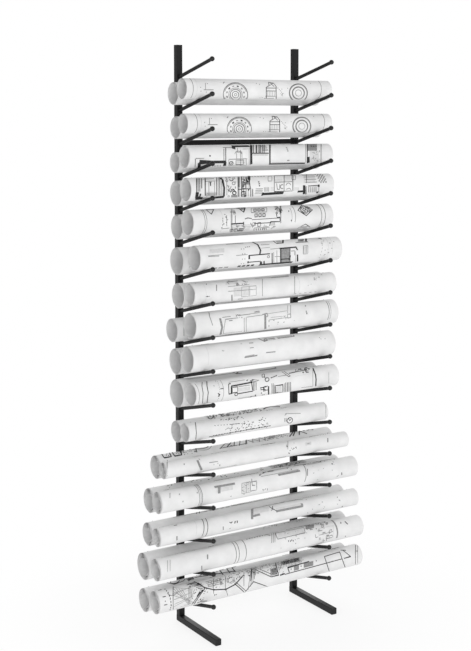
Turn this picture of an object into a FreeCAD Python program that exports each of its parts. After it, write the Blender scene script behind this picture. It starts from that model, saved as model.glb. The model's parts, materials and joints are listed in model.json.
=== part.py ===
import FreeCAD, Part
import math
import os
import Sketcher
from FreeCAD import Placement, Rotation, Vector

# A floor rack for rolled drawings, loaded with two rolls on every tier but the top one.
# Two square-tube uprights stand on forward feet and carry sloping rod arms with ball tips.
# Origin: on the floor, midway between the uprights and midway from back to front.
# +X to the right along the rolls, -Y to the front where the arms point, +Z up. Millimetres.

doc = FreeCAD.newDocument("drawing_roll_rack")
sheet = doc.addObject("Spreadsheet::Sheet", "Sizes")

DRIVING_SIZES = {
    "spacing": 485,             # between the centre planes of the two uprights
    "depth": 266,               # back faces of the uprights to the front of the feet
    "tube_side": 22,            # uprights and feet, square tube
    "tube_wall": 1.5,
    "tube_corner": 2,
    "total_height": 2018,
    "lowest_arm": 70,           # height of an arm's centre line at the upright's front face
    "arm_pitch": 114,
    "section_gap": 122,         # arm pitch across a joint between two upright sections
    "arm_slope": 14,            # degrees above the horizontal
    "arm_reach": 212,           # horizontally, front face to ball centre
    "arm_radius": 6,
    "arm_tail": 18,             # length of an arm inside its upright
    "tip_radius": 8.5,
    "arm_fit": 0.05,            # radial gap of an arm in its hole
    "bar_side": 18,             # crossbars, square tube
    "bar_wall": 1.5,
    "bar_corner": 1.5,
    "bar_rise": 3,              # crossbar centre above the arm root it is level with
    "sleeve_gap": 0.1,          # all round, between an inner sleeve and its tube
    "sleeve_wall": 2,
    "joiner_length": 70,
    "foot_spigot_height": 32,
    "bar_spigot_length": 30,
    "cap_lip": 2,
    "cap_plug": 14,
    "cap_corner": 0.8,          # rounding of a cap's outer rim
    "screw_radius": 2,
    "screw_length": 8,
    "screw_head_radius": 3.8,
    "screw_head_height": 2,
    "screw_socket": 2.5,        # across the flats
    "screw_offset": 20,         # from a section joint to its screws
    "screw_fit": 0.05,          # radial gap of a screw in its hole
    "roll_wall": 3,             # wound paper, outer turn to inner turn
    "roll_gap": 0.4,            # kept between a roll and whatever it lies against
}

ARMS_IN_SECTION = {"lower": 6, "middle": 5, "upper": 6}
SIDES = {"left": -1, "right": 1}
UPPER_BAR_ARM = 3               # counted from the top, the arm a crossbar is level with
LOWER_BAR_ARM = 15

# One line for each loaded tier, from the top: outer radius, left end and right end of the roll
# against the uprights, then the same three of the roll in front of it.
ROLL_SIZES = [
    (39.0, -291, 297, 35.5, -300, 294),
    (38.5, -282, 306, 34.5, -295, 297),
    (35.5, -284, 304, 38.5, -288, 302),
    (43.5, -284, 304, 40.0, -295, 292),
    (43.0, -281, 305, 43.0, -289, 286),
    (47.5, -285, 303, 43.0, -269, 319),
    (43.5, -279, 309, 37.0, -279, 309),
    (41.0, -302, 288, 44.5, -279, 313),
    (45.5, -290, 298, 45.5, -297, 292),
    (49.0, -289, 278, 39.5, -285, 311),
    (38.0, -285, 264, 32.5, -291, 290),
    (41.0, -368, 356, 29.5, -379, 384),
    (43.0, -395, 390, 38.0, -408, 412),
    (41.0, -400, 413, 32.5, -406, 427),
    (47.0, -421, 416, 38.5, -420, 432),
    (41.5, -416, 425, 39.5, -418, 436),
]


def store(alias, value, row):
    sheet.set(f"A{row}", alias)
    sheet.set(f"B{row}", str(value))
    sheet.setAlias(f"B{row}", alias)


def fill_sheet():
    cells = dict(DRIVING_SIZES)
    for tier, (back_radius, back_left, back_right, front_radius, front_left, front_right) in enumerate(
            ROLL_SIZES, start=1):
        cells[f"back_radius_{tier:02d}"] = back_radius
        cells[f"back_length_{tier:02d}"] = back_right - back_left
        cells[f"front_radius_{tier:02d}"] = front_radius
        cells[f"front_length_{tier:02d}"] = front_right - front_left
    for row, (alias, value) in enumerate(cells.items(), start=1):
        store(alias, value, row)
    doc.recompute()


fill_sheet()


def size(alias):
    return float(sheet.get(alias))


# ---- places worked out from the driving sizes ----

BACK_FACE = size("depth") / 2
UPRIGHT_Y = BACK_FACE - size("tube_side") / 2
FRONT_FACE = BACK_FACE - size("tube_side")
SLOPE = math.radians(size("arm_slope"))
ALONG_ARM = Vector(0, -math.cos(SLOPE), math.sin(SLOPE))
ARM_TURN = Rotation(Vector(0, 0, 1), ALONG_ARM)
TURN_TO_FRONT = Rotation(Vector(0, 0, 1), Vector(0, -1, 0))
TURN_TO_BACK = Rotation(Vector(0, 0, 1), Vector(0, 1, 0))
TURN_TO_RIGHT = Rotation(Vector(0, 0, 1), Vector(1, 0, 0))
TURN_TO_LEFT = Rotation(Vector(0, 0, 1), Vector(-1, 0, 0))
UPRIGHT_X = {side: sign * size("spacing") / 2 for side, sign in SIDES.items()}


def arm_heights():
    """Heights of all arms from the lowest up, in one list for each upright section."""
    height = size("lowest_arm")
    sections = {}
    for name, count in ARMS_IN_SECTION.items():
        sections[name] = [height + index * size("arm_pitch") for index in range(count)]
        height = sections[name][-1] + size("section_gap")
    return sections


SECTION_ARMS = arm_heights()
ARM_HEIGHTS = sorted(sum(SECTION_ARMS.values(), []), reverse=True)
LOW_JOINT = SECTION_ARMS["lower"][-1] + size("section_gap") / 2
HIGH_JOINT = SECTION_ARMS["middle"][-1] + size("section_gap") / 2
SECTION_ENDS = {
    "lower": (size("tube_side"), LOW_JOINT),
    "middle": (LOW_JOINT, HIGH_JOINT),
    "upper": (HIGH_JOINT, size("total_height") - size("cap_lip")),
}
LOW_ARM_SPAN = f"{ARMS_IN_SECTION['lower'] - 1} * Sizes.arm_pitch + Sizes.section_gap / 2"
MIDDLE_ARM_SPAN = f"{ARMS_IN_SECTION['middle'] - 1} * Sizes.arm_pitch + Sizes.section_gap"
SECTION_LENGTHS = {
    "lower": f"Sizes.lowest_arm + {LOW_ARM_SPAN} - Sizes.tube_side",
    "middle": MIDDLE_ARM_SPAN,
    "upper": "Sizes.total_height - Sizes.cap_lip - Sizes.lowest_arm"
             f" - ({LOW_ARM_SPAN}) - ({MIDDLE_ARM_SPAN})",
}
INNER_SLEEVE_SIDE = "(Sizes.tube_side - 2 * Sizes.tube_wall - 2 * Sizes.sleeve_gap)"
SUBPARTS = []


# ---- building blocks ----

def bind(feature, **properties):
    for name, expression in properties.items():
        feature.setExpression(name, expression)


def new_body(name):
    body = doc.addObject("PartDesign::Body", name)
    body.Label = name
    return body


def new_sketch(body, role, name):
    """An empty sketch on one of the body's own origin planes."""
    sketch = body.newObject("Sketcher::SketchObject", name)
    plane = [part for part in body.Origin.OriginFeatures if part.Role == role][0]
    sketch.AttachmentSupport = (plane, [""])
    sketch.MapMode = "FlatFace"
    return sketch


def draw_square(sketch, side, start=10.0):
    """A square centred on the sketch's origin, its side bound to an expression."""
    corners = [Vector(-start, -start), Vector(start, -start), Vector(start, start), Vector(-start, start)]
    first = sketch.GeometryCount
    for index in range(4):
        sketch.addGeometry(Part.LineSegment(corners[index], corners[(index + 1) % 4]), False)
    for index in range(4):
        following = first + (index + 1) % 4
        sketch.addConstraint(Sketcher.Constraint("Coincident", first + index, 2, following, 1))
    for index in (0, 2):
        sketch.addConstraint(Sketcher.Constraint("Horizontal", first + index))
    for index in (1, 3):
        sketch.addConstraint(Sketcher.Constraint("Vertical", first + index))
    sketch.addConstraint(Sketcher.Constraint("Symmetric", first, 1, first + 2, 1, -1, 1))
    for line, name in ((first, "width"), (first + 1, "height")):
        number = sketch.addConstraint(Sketcher.Constraint("Distance", line, 2 * start))
        sketch.renameConstraint(number, name)
        sketch.setExpression(f"Constraints.{name}", side)


def draw_circle(sketch, name, radius, start=10.0):
    circle = sketch.addGeometry(Part.Circle(Vector(0, 0, 0), Vector(0, 0, 1), start), False)
    sketch.addConstraint(Sketcher.Constraint("Coincident", circle, 3, -1, 1))
    number = sketch.addConstraint(Sketcher.Constraint("Radius", circle, start))
    sketch.renameConstraint(number, name)
    sketch.setExpression(f"Constraints.{name}", radius)


def pad(body, sketch, length, name):
    feature = body.newObject("PartDesign::Pad", name)
    feature.Profile = sketch
    bind(feature, Length=length)
    return feature


def pocket_through(body, sketch, name):
    """Cuts the sketch upwards through the whole body."""
    feature = body.newObject("PartDesign::Pocket", name)
    feature.Profile = sketch
    feature.Type = "ThroughAll"
    feature.Reversed = True
    return feature


def edges_along(shape, direction):
    names = []
    for number, edge in enumerate(shape.Edges, start=1):
        tangent = edge.tangentAt(edge.FirstParameter)
        if edge.Curve.TypeId == "Part::GeomLine" and abs(tangent.dot(direction)) > 0.999:
            names.append(f"Edge{number}")
    return names


def square_tube(name, side, wall, corner, length):
    """A square tube standing on the XY plane, its lengthwise outer edges rounded."""
    body = new_body(name)
    outline = new_sketch(body, "XY_Plane", f"{name}_outline")
    draw_square(outline, side)
    block = pad(body, outline, length, f"{name}_block")
    doc.recompute()
    rounding = body.newObject("PartDesign::Fillet", f"{name}_corners")
    rounding.Base = (block, edges_along(block.Shape, Vector(0, 0, 1)))
    bind(rounding, Radius=corner)
    doc.recompute()
    solid_volume = body.Shape.Volume
    bore = new_sketch(body, "XY_Plane", f"{name}_bore")
    draw_square(bore, f"{side} - 2 * {wall}", start=5.0)
    pocket_through(body, bore, f"{name}_hollow")
    doc.recompute()
    if body.Shape.Volume > 0.9 * solid_volume:
        raise RuntimeError(f"{name} is not hollow")
    return body


def linked_group(name, master, placements):
    """One sub-part made of several copies of a master piece."""
    links = []
    for number, place in enumerate(placements, start=1):
        link = doc.addObject("App::Link", f"{name}_{number:02d}")
        link.LinkedObject = master
        link.LinkPlacement = place
        links.append(link)
    group = doc.addObject("Part::Compound", name)
    group.Label = name
    group.Links = links
    return group


def keep(piece):
    SUBPARTS.append(piece)


def keep_drilled(name, blank, drills):
    """Keeps the blank with holes cut by the drills."""
    holes = doc.addObject("Part::Compound", f"{name}_holes")
    holes.Links = drills
    drilled = doc.addObject("Part::Cut", name)
    drilled.Label = name
    drilled.Base = blank
    drilled.Tool = holes
    keep(drilled)


def screw_drill(start, turn):
    drill = doc.addObject("Part::Cylinder", "screw_drill")
    bind(drill, Radius="Sizes.screw_radius + Sizes.screw_fit", Height="Sizes.screw_length")
    drill.Placement = Placement(start, turn)
    return drill


# ---- uprights ----

def arm_root(side, height):
    return Vector(UPRIGHT_X[side], FRONT_FACE, height)


def arm_drill(side, height):
    """The slanting hole that an arm leaves in its upright's front wall."""
    drill = doc.addObject("Part::Cylinder", "arm_drill")
    bind(drill, Radius="Sizes.arm_radius + Sizes.arm_fit", Height="Sizes.arm_tail + Sizes.tube_wall")
    start = arm_root(side, height) - ALONG_ARM * (size("arm_tail") - size("tube_wall"))
    drill.Placement = Placement(start, ARM_TURN)
    return drill


def back_screw_drill(side, height):
    return screw_drill(Vector(UPRIGHT_X[side], BACK_FACE, height), TURN_TO_FRONT)


def screw_heights(section):
    """Screw holes in an upright section: one by each end that holds a sleeve or spigot."""
    low, high = SECTION_ENDS[section]
    heights = {
        "lower": [low + size("foot_spigot_height") / 2, high - size("screw_offset")],
        "middle": [low + size("screw_offset"), high - size("screw_offset")],
        "upper": [low + size("screw_offset")],
    }
    return heights[section]


def upright_section(side, section):
    name = f"{side}_upright_{section}"
    tube = square_tube(f"{name}_tube", "Sizes.tube_side", "Sizes.tube_wall", "Sizes.tube_corner",
                       SECTION_LENGTHS[section])
    foot_of_section = SECTION_ENDS[section][0]
    tube.Placement = Placement(Vector(UPRIGHT_X[side], UPRIGHT_Y, foot_of_section), Rotation())
    drills = [arm_drill(side, height) for height in SECTION_ARMS[section]]
    drills += [back_screw_drill(side, height) for height in screw_heights(section)]
    keep_drilled(name, tube, drills)


def inner_sleeve(side, name, length, low_end, holes):
    """A short square tube inside an upright, tapped for the screws that hold it."""
    sleeve = square_tube(f"{name}_tube", INNER_SLEEVE_SIDE, "Sizes.sleeve_wall", "Sizes.tube_corner", length)
    sleeve.Placement = Placement(Vector(UPRIGHT_X[side], UPRIGHT_Y, low_end), Rotation())
    keep_drilled(name, sleeve, [back_screw_drill(side, height) for height in holes])


def joiner(side, name, joint_height):
    """The inner sleeve that lines up two upright sections, a screw above and below the joint."""
    low_end = joint_height - size("joiner_length") / 2
    holes = [joint_height - size("screw_offset"), joint_height + size("screw_offset")]
    inner_sleeve(side, f"{side}_joiner_{name}", "Sizes.joiner_length", low_end, holes)


# ---- arms and their ball tips ----

def arm_master():
    """A round rod along +Z. Its origin is where it leaves the upright, so its tail is below."""
    body = new_body("arm_master")
    section = new_sketch(body, "XY_Plane", "arm_section")
    draw_circle(section, "rod", "Sizes.arm_radius", start=4.0)
    section.AttachmentOffset = Placement(Vector(0, 0, -size("arm_tail")), Rotation())
    pad(body, section, "Sizes.arm_tail + Sizes.arm_reach / cos(Sizes.arm_slope * 1 deg)", "arm_rod")
    return body


def tip_master():
    """A moulded ball with a blind bore, centred on its own origin, the bore opening downwards."""
    body = new_body("tip_master")
    profile = new_sketch(body, "XZ_Plane", "tip_profile")
    ball = size("tip_radius")
    bore = size("arm_radius")
    bottom = -math.sqrt(ball ** 2 - bore ** 2)
    # A ball bored to its centre: bore wall, bore end, axis, then the outside as one arc.
    profile.addGeometry(Part.LineSegment(Vector(bore, bottom), Vector(bore, 0)), False)
    profile.addGeometry(Part.LineSegment(Vector(bore, 0), Vector(0, 0)), False)
    profile.addGeometry(Part.LineSegment(Vector(0, 0), Vector(0, ball)), False)
    outside = Part.Circle(Vector(0, 0), Vector(0, 0, 1), ball)
    start_angle = math.atan2(bottom, bore)
    profile.addGeometry(Part.ArcOfCircle(outside, start_angle, math.pi / 2), False)
    profile.addConstraint(Sketcher.Constraint("Coincident", 0, 2, 1, 1))
    profile.addConstraint(Sketcher.Constraint("Coincident", 1, 2, 2, 1))
    profile.addConstraint(Sketcher.Constraint("Coincident", 2, 1, -1, 1))
    profile.addConstraint(Sketcher.Constraint("Coincident", 2, 2, 3, 2))
    profile.addConstraint(Sketcher.Constraint("Coincident", 3, 3, -1, 1))
    profile.addConstraint(Sketcher.Constraint("Coincident", 0, 1, 3, 1))
    profile.addConstraint(Sketcher.Constraint("Vertical", 0))
    profile.addConstraint(Sketcher.Constraint("Horizontal", 1))
    profile.addConstraint(Sketcher.Constraint("Vertical", 2))
    for line, kind, name, expression in (
            (1, "Distance", "bore", "Sizes.arm_radius"), (3, "Radius", "ball", "Sizes.tip_radius")):
        number = profile.addConstraint(Sketcher.Constraint(kind, line, size(expression.split(".")[1])))
        profile.renameConstraint(number, name)
        profile.setExpression(f"Constraints.{name}", expression)
    turned = body.newObject("PartDesign::Revolution", "tip_ball")
    turned.Profile = profile
    turned.ReferenceAxis = (profile, ["V_Axis"])
    turned.Angle = 360
    return body


def arms_and_tips():
    rod = arm_master()
    ball = tip_master()
    doc.recompute()
    to_tip = ALONG_ARM * (size("arm_reach") / math.cos(SLOPE))
    for side in SIDES:
        roots = [arm_root(side, height) for height in ARM_HEIGHTS]
        keep(linked_group(f"{side}_arms", rod, [Placement(root, ARM_TURN) for root in roots]))
        tips = [Placement(root + to_tip, ARM_TURN) for root in roots]
        keep(linked_group(f"{side}_arm_tips", ball, tips))


# ---- feet and plug caps ----

def foot(side):
    """A square tube flat on the floor, its back cap level with the upright's back face."""
    tube = square_tube(f"{side}_foot", "Sizes.tube_side", "Sizes.tube_wall", "Sizes.tube_corner",
                       "Sizes.depth - 2 * Sizes.cap_lip")
    back_end = Vector(UPRIGHT_X[side], BACK_FACE - size("cap_lip"), size("tube_side") / 2)
    tube.Placement = Placement(back_end, TURN_TO_FRONT)
    keep(tube)


def foot_spigot(side):
    """The short square tube welded on the foot that the upright is pushed over."""
    foot_top = size("tube_side")
    screw = foot_top + size("foot_spigot_height") / 2
    inner_sleeve(side, f"{side}_foot_spigot", "Sizes.foot_spigot_height", foot_top, [screw])


def cap_master():
    """A plug cap: a lip as wide as the tube above the XY plane and a plug below it."""
    body = new_body("cap_master")
    lip_outline = new_sketch(body, "XY_Plane", "cap_lip_outline")
    draw_square(lip_outline, "Sizes.tube_side")
    lip = pad(body, lip_outline, "Sizes.cap_lip", "cap_lip_block")
    doc.recompute()
    corners = body.newObject("PartDesign::Fillet", "cap_corners")
    corners.Base = (lip, edges_along(lip.Shape, Vector(0, 0, 1)))
    bind(corners, Radius="Sizes.tube_corner")
    doc.recompute()
    rim = [f"Edge{number}" for number, edge in enumerate(corners.Shape.Edges, start=1)
           if edge.BoundBox.ZMin > size("cap_lip") - 0.001]
    rounding = body.newObject("PartDesign::Fillet", "cap_rim")
    rounding.Base = (corners, rim)
    bind(rounding, Radius="Sizes.cap_corner")
    doc.recompute()
    plug_outline = new_sketch(body, "XY_Plane", "cap_plug_outline")
    draw_square(plug_outline, INNER_SLEEVE_SIDE)
    plug = pad(body, plug_outline, "Sizes.cap_plug", "cap_plug_block")
    plug.Reversed = True
    return body


def caps():
    master = cap_master()
    doc.recompute()
    for side in SIDES:
        x = UPRIGHT_X[side]
        top = Vector(x, UPRIGHT_Y, size("total_height") - size("cap_lip"))
        keep(linked_group(f"{side}_top_cap", master, [Placement(top, Rotation())]))
        foot_middle = size("tube_side") / 2
        front = Vector(x, -BACK_FACE + size("cap_lip"), foot_middle)
        back = Vector(x, BACK_FACE - size("cap_lip"), foot_middle)
        places = [Placement(front, TURN_TO_FRONT), Placement(back, TURN_TO_BACK)]
        keep(linked_group(f"{side}_foot_caps", master, places))


# ---- crossbars ----

def crossbar_tube(name, height):
    """A square tube from one upright's inner face to the other's."""
    bar = square_tube(f"{name}_tube", "Sizes.bar_side", "Sizes.bar_wall", "Sizes.bar_corner",
                      "Sizes.spacing - Sizes.tube_side")
    left_end = UPRIGHT_X["left"] + size("tube_side") / 2
    bar.Placement = Placement(Vector(left_end, UPRIGHT_Y, height), TURN_TO_RIGHT)
    return bar


def bar_spigot_blank():
    """The short square bar, welded on an upright, that a crossbar's end is pushed over."""
    body = new_body("bar_spigot_blank")
    outline = new_sketch(body, "XY_Plane", "bar_spigot_outline")
    draw_square(outline, "Sizes.bar_side - 2 * Sizes.bar_wall - 2 * Sizes.sleeve_gap")
    pad(body, outline, "Sizes.bar_spigot_length", "bar_spigot_block")
    return body


def bar_spigot_master():
    """The spigot with a tapped hole across its middle, its length along +Z, the screw from +Y."""
    start = Vector(0, size("bar_side") / 2, size("bar_spigot_length") / 2)
    spigot = doc.addObject("Part::Cut", "bar_spigot_master")
    spigot.Base = bar_spigot_blank()
    spigot.Tool = screw_drill(start, TURN_TO_FRONT)
    return spigot


def screw_master():
    """A button-head screw along +Z: head above the XY plane, shank below, hexagon socket on top."""
    shank = doc.addObject("Part::Cylinder", "screw_shank")
    bind(shank, Radius="Sizes.screw_radius", Height="Sizes.screw_length")
    shank.Placement = Placement(Vector(0, 0, -size("screw_length")), Rotation())
    head = doc.addObject("Part::Cone", "screw_head")
    bind(head, Radius1="Sizes.screw_head_radius", Radius2="Sizes.screw_head_radius * 0.75",
         Height="Sizes.screw_head_height")
    whole = doc.addObject("Part::Fuse", "screw_blank")
    whole.Base = shank
    whole.Tool = head
    socket = doc.addObject("Part::Prism", "screw_socket")
    socket.Polygon = 6
    bind(socket, Circumradius="Sizes.screw_socket / sqrt(3)", Height="Sizes.screw_head_height")
    socket.Placement = Placement(Vector(0, 0, size("screw_head_height") * 0.4), Rotation())
    screw = doc.addObject("Part::Cut", "screw_master")
    screw.Base = whole
    screw.Tool = socket
    return screw


def crossbars_and_screws():
    screw = screw_master()
    spigot = bar_spigot_master()
    doc.recompute()
    inner_face = {side: x - SIDES[side] * size("tube_side") / 2 for side, x in UPRIGHT_X.items()}
    inward = {"left": TURN_TO_RIGHT, "right": TURN_TO_LEFT}
    bar_back = UPRIGHT_Y + size("bar_side") / 2
    spigots = []
    bar_screws = []
    for name, arm in (("crossbar_upper", UPPER_BAR_ARM), ("crossbar_lower", LOWER_BAR_ARM)):
        height = ARM_HEIGHTS[arm - 1] + size("bar_rise")
        drills = []
        for side, x in inner_face.items():
            screw_place = Vector(x - SIDES[side] * size("bar_spigot_length") / 2, bar_back, height)
            drills.append(screw_drill(screw_place, TURN_TO_FRONT))
            bar_screws.append(Placement(screw_place, TURN_TO_BACK))
            spigots.append(Placement(Vector(x, UPRIGHT_Y, height), inward[side]))
        keep_drilled(name, crossbar_tube(name, height), drills)
    keep(linked_group("crossbar_spigots", spigot, spigots))
    keep(linked_group("crossbar_screws", screw, bar_screws))
    upright_screws = []
    for x in UPRIGHT_X.values():
        for section in ARMS_IN_SECTION:
            for height in screw_heights(section):
                upright_screws.append(Placement(Vector(x, BACK_FACE, height), TURN_TO_BACK))
    keep(linked_group("upright_screws", screw, upright_screws))


# ---- rolled drawings ----

def back_roll_rest(arm_height, radius):
    """Where a roll's axis lies when it rests on a pair of arms against the uprights."""
    reach = radius + size("roll_gap")
    y = FRONT_FACE - reach
    lift = (reach + size("arm_radius")) / math.cos(SLOPE)
    return y, arm_height + reach * math.tan(SLOPE) + lift


def front_roll_rest(back_axis, back_radius, radius):
    """Where a roll's axis lies when it rests on the same arms against the roll behind it."""
    centres = back_radius + radius + size("roll_gap")
    rise = radius - back_radius
    along = math.sqrt(centres ** 2 - rise ** 2)
    y = back_axis[0] - along * math.cos(SLOPE) + rise * math.sin(SLOPE)
    z = back_axis[1] + along * math.sin(SLOPE) + rise * math.cos(SLOPE)
    return y, z


def roll(name, radius, length, left_end, axis):
    body = new_body(name)
    ring = new_sketch(body, "YZ_Plane", f"{name}_ring")
    draw_circle(ring, "outer", radius, start=40.0)
    draw_circle(ring, "inner", f"{radius} - Sizes.roll_wall", start=30.0)
    pad(body, ring, length, f"{name}_paper")
    body.Placement = Placement(Vector(left_end, axis[0], axis[1]), Rotation())
    keep(body)


def rolls():
    for tier, (back_radius, back_left, _, front_radius, front_left, _) in enumerate(ROLL_SIZES, start=1):
        back_axis = back_roll_rest(ARM_HEIGHTS[tier], back_radius)
        front_axis = front_roll_rest(back_axis, back_radius, front_radius)
        roll(f"back_roll_{tier:02d}", f"Sizes.back_radius_{tier:02d}", f"Sizes.back_length_{tier:02d}",
             back_left, back_axis)
        roll(f"front_roll_{tier:02d}", f"Sizes.front_radius_{tier:02d}", f"Sizes.front_length_{tier:02d}",
             front_left, front_axis)


# ---- build, test and write ----

for side in SIDES:
    for section in ARMS_IN_SECTION:
        upright_section(side, section)
    joiner(side, "low", LOW_JOINT)
    joiner(side, "high", HIGH_JOINT)
    foot(side)
    foot_spigot(side)
arms_and_tips()
caps()
crossbars_and_screws()
rolls()
doc.recompute()

for thing in doc.Objects:
    if "Invalid" in thing.State or "Error" in thing.State:
        raise RuntimeError(f"{thing.Label} failed: {thing.State}")
for piece in SUBPARTS:
    if piece.Shape.isNull() or not piece.Shape.isValid():
        raise RuntimeError(f"{piece.Label} has no valid shape")

os.makedirs("parts", exist_ok=True)
for piece in SUBPARTS:
    piece.Shape.exportStep(os.path.join("parts", f"{piece.Label}.step"))
print(f"{len(SUBPARTS)} sub-parts written")
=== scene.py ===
import json
import math
import random

import bpy
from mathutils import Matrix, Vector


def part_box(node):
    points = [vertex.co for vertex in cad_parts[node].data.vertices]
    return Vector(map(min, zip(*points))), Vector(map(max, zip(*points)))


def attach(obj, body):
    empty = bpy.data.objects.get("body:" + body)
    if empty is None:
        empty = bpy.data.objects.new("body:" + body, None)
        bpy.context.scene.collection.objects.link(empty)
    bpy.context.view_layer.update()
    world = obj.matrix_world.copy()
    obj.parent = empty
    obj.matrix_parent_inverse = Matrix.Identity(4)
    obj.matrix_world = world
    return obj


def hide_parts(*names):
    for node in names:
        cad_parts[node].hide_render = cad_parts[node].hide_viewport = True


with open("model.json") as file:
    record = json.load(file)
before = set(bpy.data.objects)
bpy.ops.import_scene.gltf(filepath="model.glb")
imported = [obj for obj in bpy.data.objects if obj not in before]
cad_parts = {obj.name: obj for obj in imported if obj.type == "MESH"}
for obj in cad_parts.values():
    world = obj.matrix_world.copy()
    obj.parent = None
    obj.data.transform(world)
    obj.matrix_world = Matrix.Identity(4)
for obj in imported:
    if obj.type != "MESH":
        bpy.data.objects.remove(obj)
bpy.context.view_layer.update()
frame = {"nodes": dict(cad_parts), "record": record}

# Looks for a drawing roll rack: a black steel floor rack loaded with sixteen tiers of rolled drawings.
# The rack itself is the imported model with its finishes. Every roll is wound here as a real sheet,
# several turns deep, and its printed linework is laid on the outer turn as its own thin piece.
# Lengths in this file are millimetres, and become metres only where a mesh is made.

MM = 0.001
TIERS = 16

# ---------------------------------------------------------------- colours and the node helper


def srgb(code):
    """The linear colour of an sRGB hex value such as "#1A1A1C"."""
    channels = [int(code[i : i + 2], 16) / 255 for i in (1, 3, 5)]
    linear = [c / 12.92 if c <= 0.04045 else ((c + 0.055) / 1.055) ** 2.4 for c in channels]
    return (*linear, 1.0)


def add(tree, kind, inputs=None, **settings):
    """Adds a node. Each input is a plain value, or (node, output) for a link."""
    node = tree.nodes.new("ShaderNode" + kind)
    for name, value in settings.items():
        setattr(node, name, value)
    for name, value in (inputs or {}).items():
        if isinstance(value, tuple) and isinstance(value[0], bpy.types.Node):
            tree.links.new(value[0].outputs[value[1]], node.inputs[name])
        else:
            node.inputs[name].default_value = value
    return node


def per_mm(size):
    """The texture scale that repeats a pattern every size millimetres."""
    return 1 / (size * MM)


def finish_material(name, light, dark, patch_mm, grain_mm, roughness, bump_mm, fixed):
    """A finish whose colour drifts between two tones in patches, over a fine grain.

    The patches move the colour and the roughness, and the grain makes the bump."""
    material = bpy.data.materials.new(name)
    material.use_nodes = True
    tree = material.node_tree
    tree.nodes.clear()
    place = add(tree, "TexCoord")
    patch = add(tree, "TexNoise", {"Vector": (place, "Object"), "Scale": per_mm(patch_mm), "Detail": 5.0})
    grain = add(tree, "TexNoise", {"Vector": (place, "Object"), "Scale": per_mm(grain_mm), "Detail": 3.0})
    drift = add(
        tree, "MapRange", {"Value": (patch, "Fac"), "From Min": 0.35, "From Max": 0.65}, clamp=True
    )
    colour = add(tree, "Mix", {0: (drift, "Result"), 6: srgb(dark), 7: srgb(light)}, data_type="RGBA")
    rough = add(
        tree,
        "MapRange",
        {
            "Value": (grain, "Fac"),
            "From Min": 0.3,
            "From Max": 0.7,
            "To Min": roughness[0],
            "To Max": roughness[1],
        },
        clamp=True,
    )
    bump = add(tree, "Bump", {"Height": (grain, "Fac"), "Strength": 1.0, "Distance": bump_mm * MM})
    shader = add(
        tree,
        "BsdfPrincipled",
        {
            "Base Color": (colour, 2),
            "Roughness": (rough, "Result"),
            "Normal": (bump, "Normal"),
            **fixed,
        },
    )
    add(tree, "OutputMaterial", {"Surface": (shader, "BSDF")})
    return material


# ---------------------------------------------------------------- finishes

# Mild steel tube and rod, black polyester powder coat, baked: a satin near-black with a soft
# highlight that the orange peel of the coat breaks up. The peel is about 1 mm and is drawn at 2 mm.
powder_coat = finish_material(
    "black_powder_coated_steel", "#0D0D0E", "#060607", 90, 2, (0.4, 0.54), 0.05,
    {"Specular IOR Level": 0.26},
)

# Injection-moulded polypropylene balls: smoother and glossier than the coat, so each ball holds
# one small highlight.
tip_plastic = finish_material(
    "black_moulded_ball_plastic", "#0E0E0F", "#080809", 12, 1.5, (0.22, 0.32), 0.02,
    {"Specular IOR Level": 0.4},
)

# Moulded polyethylene plugs in the tube ends: duller than the steel, with a fine spark-eroded grain
# of about 0.3 mm, drawn at 1 mm.
cap_plastic = finish_material(
    "black_moulded_cap_plastic", "#111112", "#0B0B0C", 15, 1, (0.55, 0.68), 0.04,
    {"Specular IOR Level": 0.4},
)

# Blackened steel screws: a dark metal with an oily, slightly uneven sheen.
screw_steel = finish_material(
    "blackened_screw_steel", "#3A3A3C", "#262628", 4, 0.8, (0.32, 0.48), 0.01, {"Metallic": 1.0}
)

# Uncoated drawing paper, machine made: a cool white, matt, a little cloudy where the fibres lie
# thicker. The fibres are under 0.5 mm and are drawn at 1.5 mm.
paper = finish_material(
    "uncoated_drawing_paper", "#E6E6E6", "#DEDEDE", 45, 1.5, (0.72, 0.85), 0.03, {"IOR": 1.5}
)

# The unprinted back of the same paper, shown inside each roll; its greyer tone is painted shade.
paper_back_painted_shade = finish_material(
    "drawing_paper_reverse_painted_shade", "#DEDEDE", "#D4D4D4", 45, 1.5, (0.75, 0.88), 0.03, {"IOR": 1.5}
)

# Plotter ink, dried into the paper: a matt soft black that thins where the line ran dry.
ink = finish_material(
    "dried_plotter_ink", "#2A2A2B", "#141415", 6, 1.5, (0.6, 0.75), 0.01, {"IOR": 1.45}
)

# The same ink printed as a grey screen for paved and shaded areas.
grey_ink = finish_material(
    "grey_screened_ink", "#969696", "#808080", 6, 1.5, (0.65, 0.8), 0.01, {"IOR": 1.45}
)

# A lighter screen of the same ink, for lawns, tiling and shading.
light_ink = finish_material(
    "light_screened_ink", "#D6D6D6", "#CCCCCC", 10, 1.5, (0.65, 0.8), 0.01, {"IOR": 1.45}
)

FINISHES = {
    "powder_coated_steel": powder_coat,
    "arm_tip_plastic": tip_plastic,
    "cap_plastic": cap_plastic,
    "screw_steel": screw_steel,
    "drawing_paper": paper,
}

for subpart in frame["record"]["subparts"]:
    for holder in frame["nodes"][subpart["node"]].material_slots:
        holder.material = FINISHES[subpart["material_slot"]]


# ---------------------------------------------------------------- meshes


CREASE = math.radians(40)  # edges sharper than this stay sharp


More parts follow.
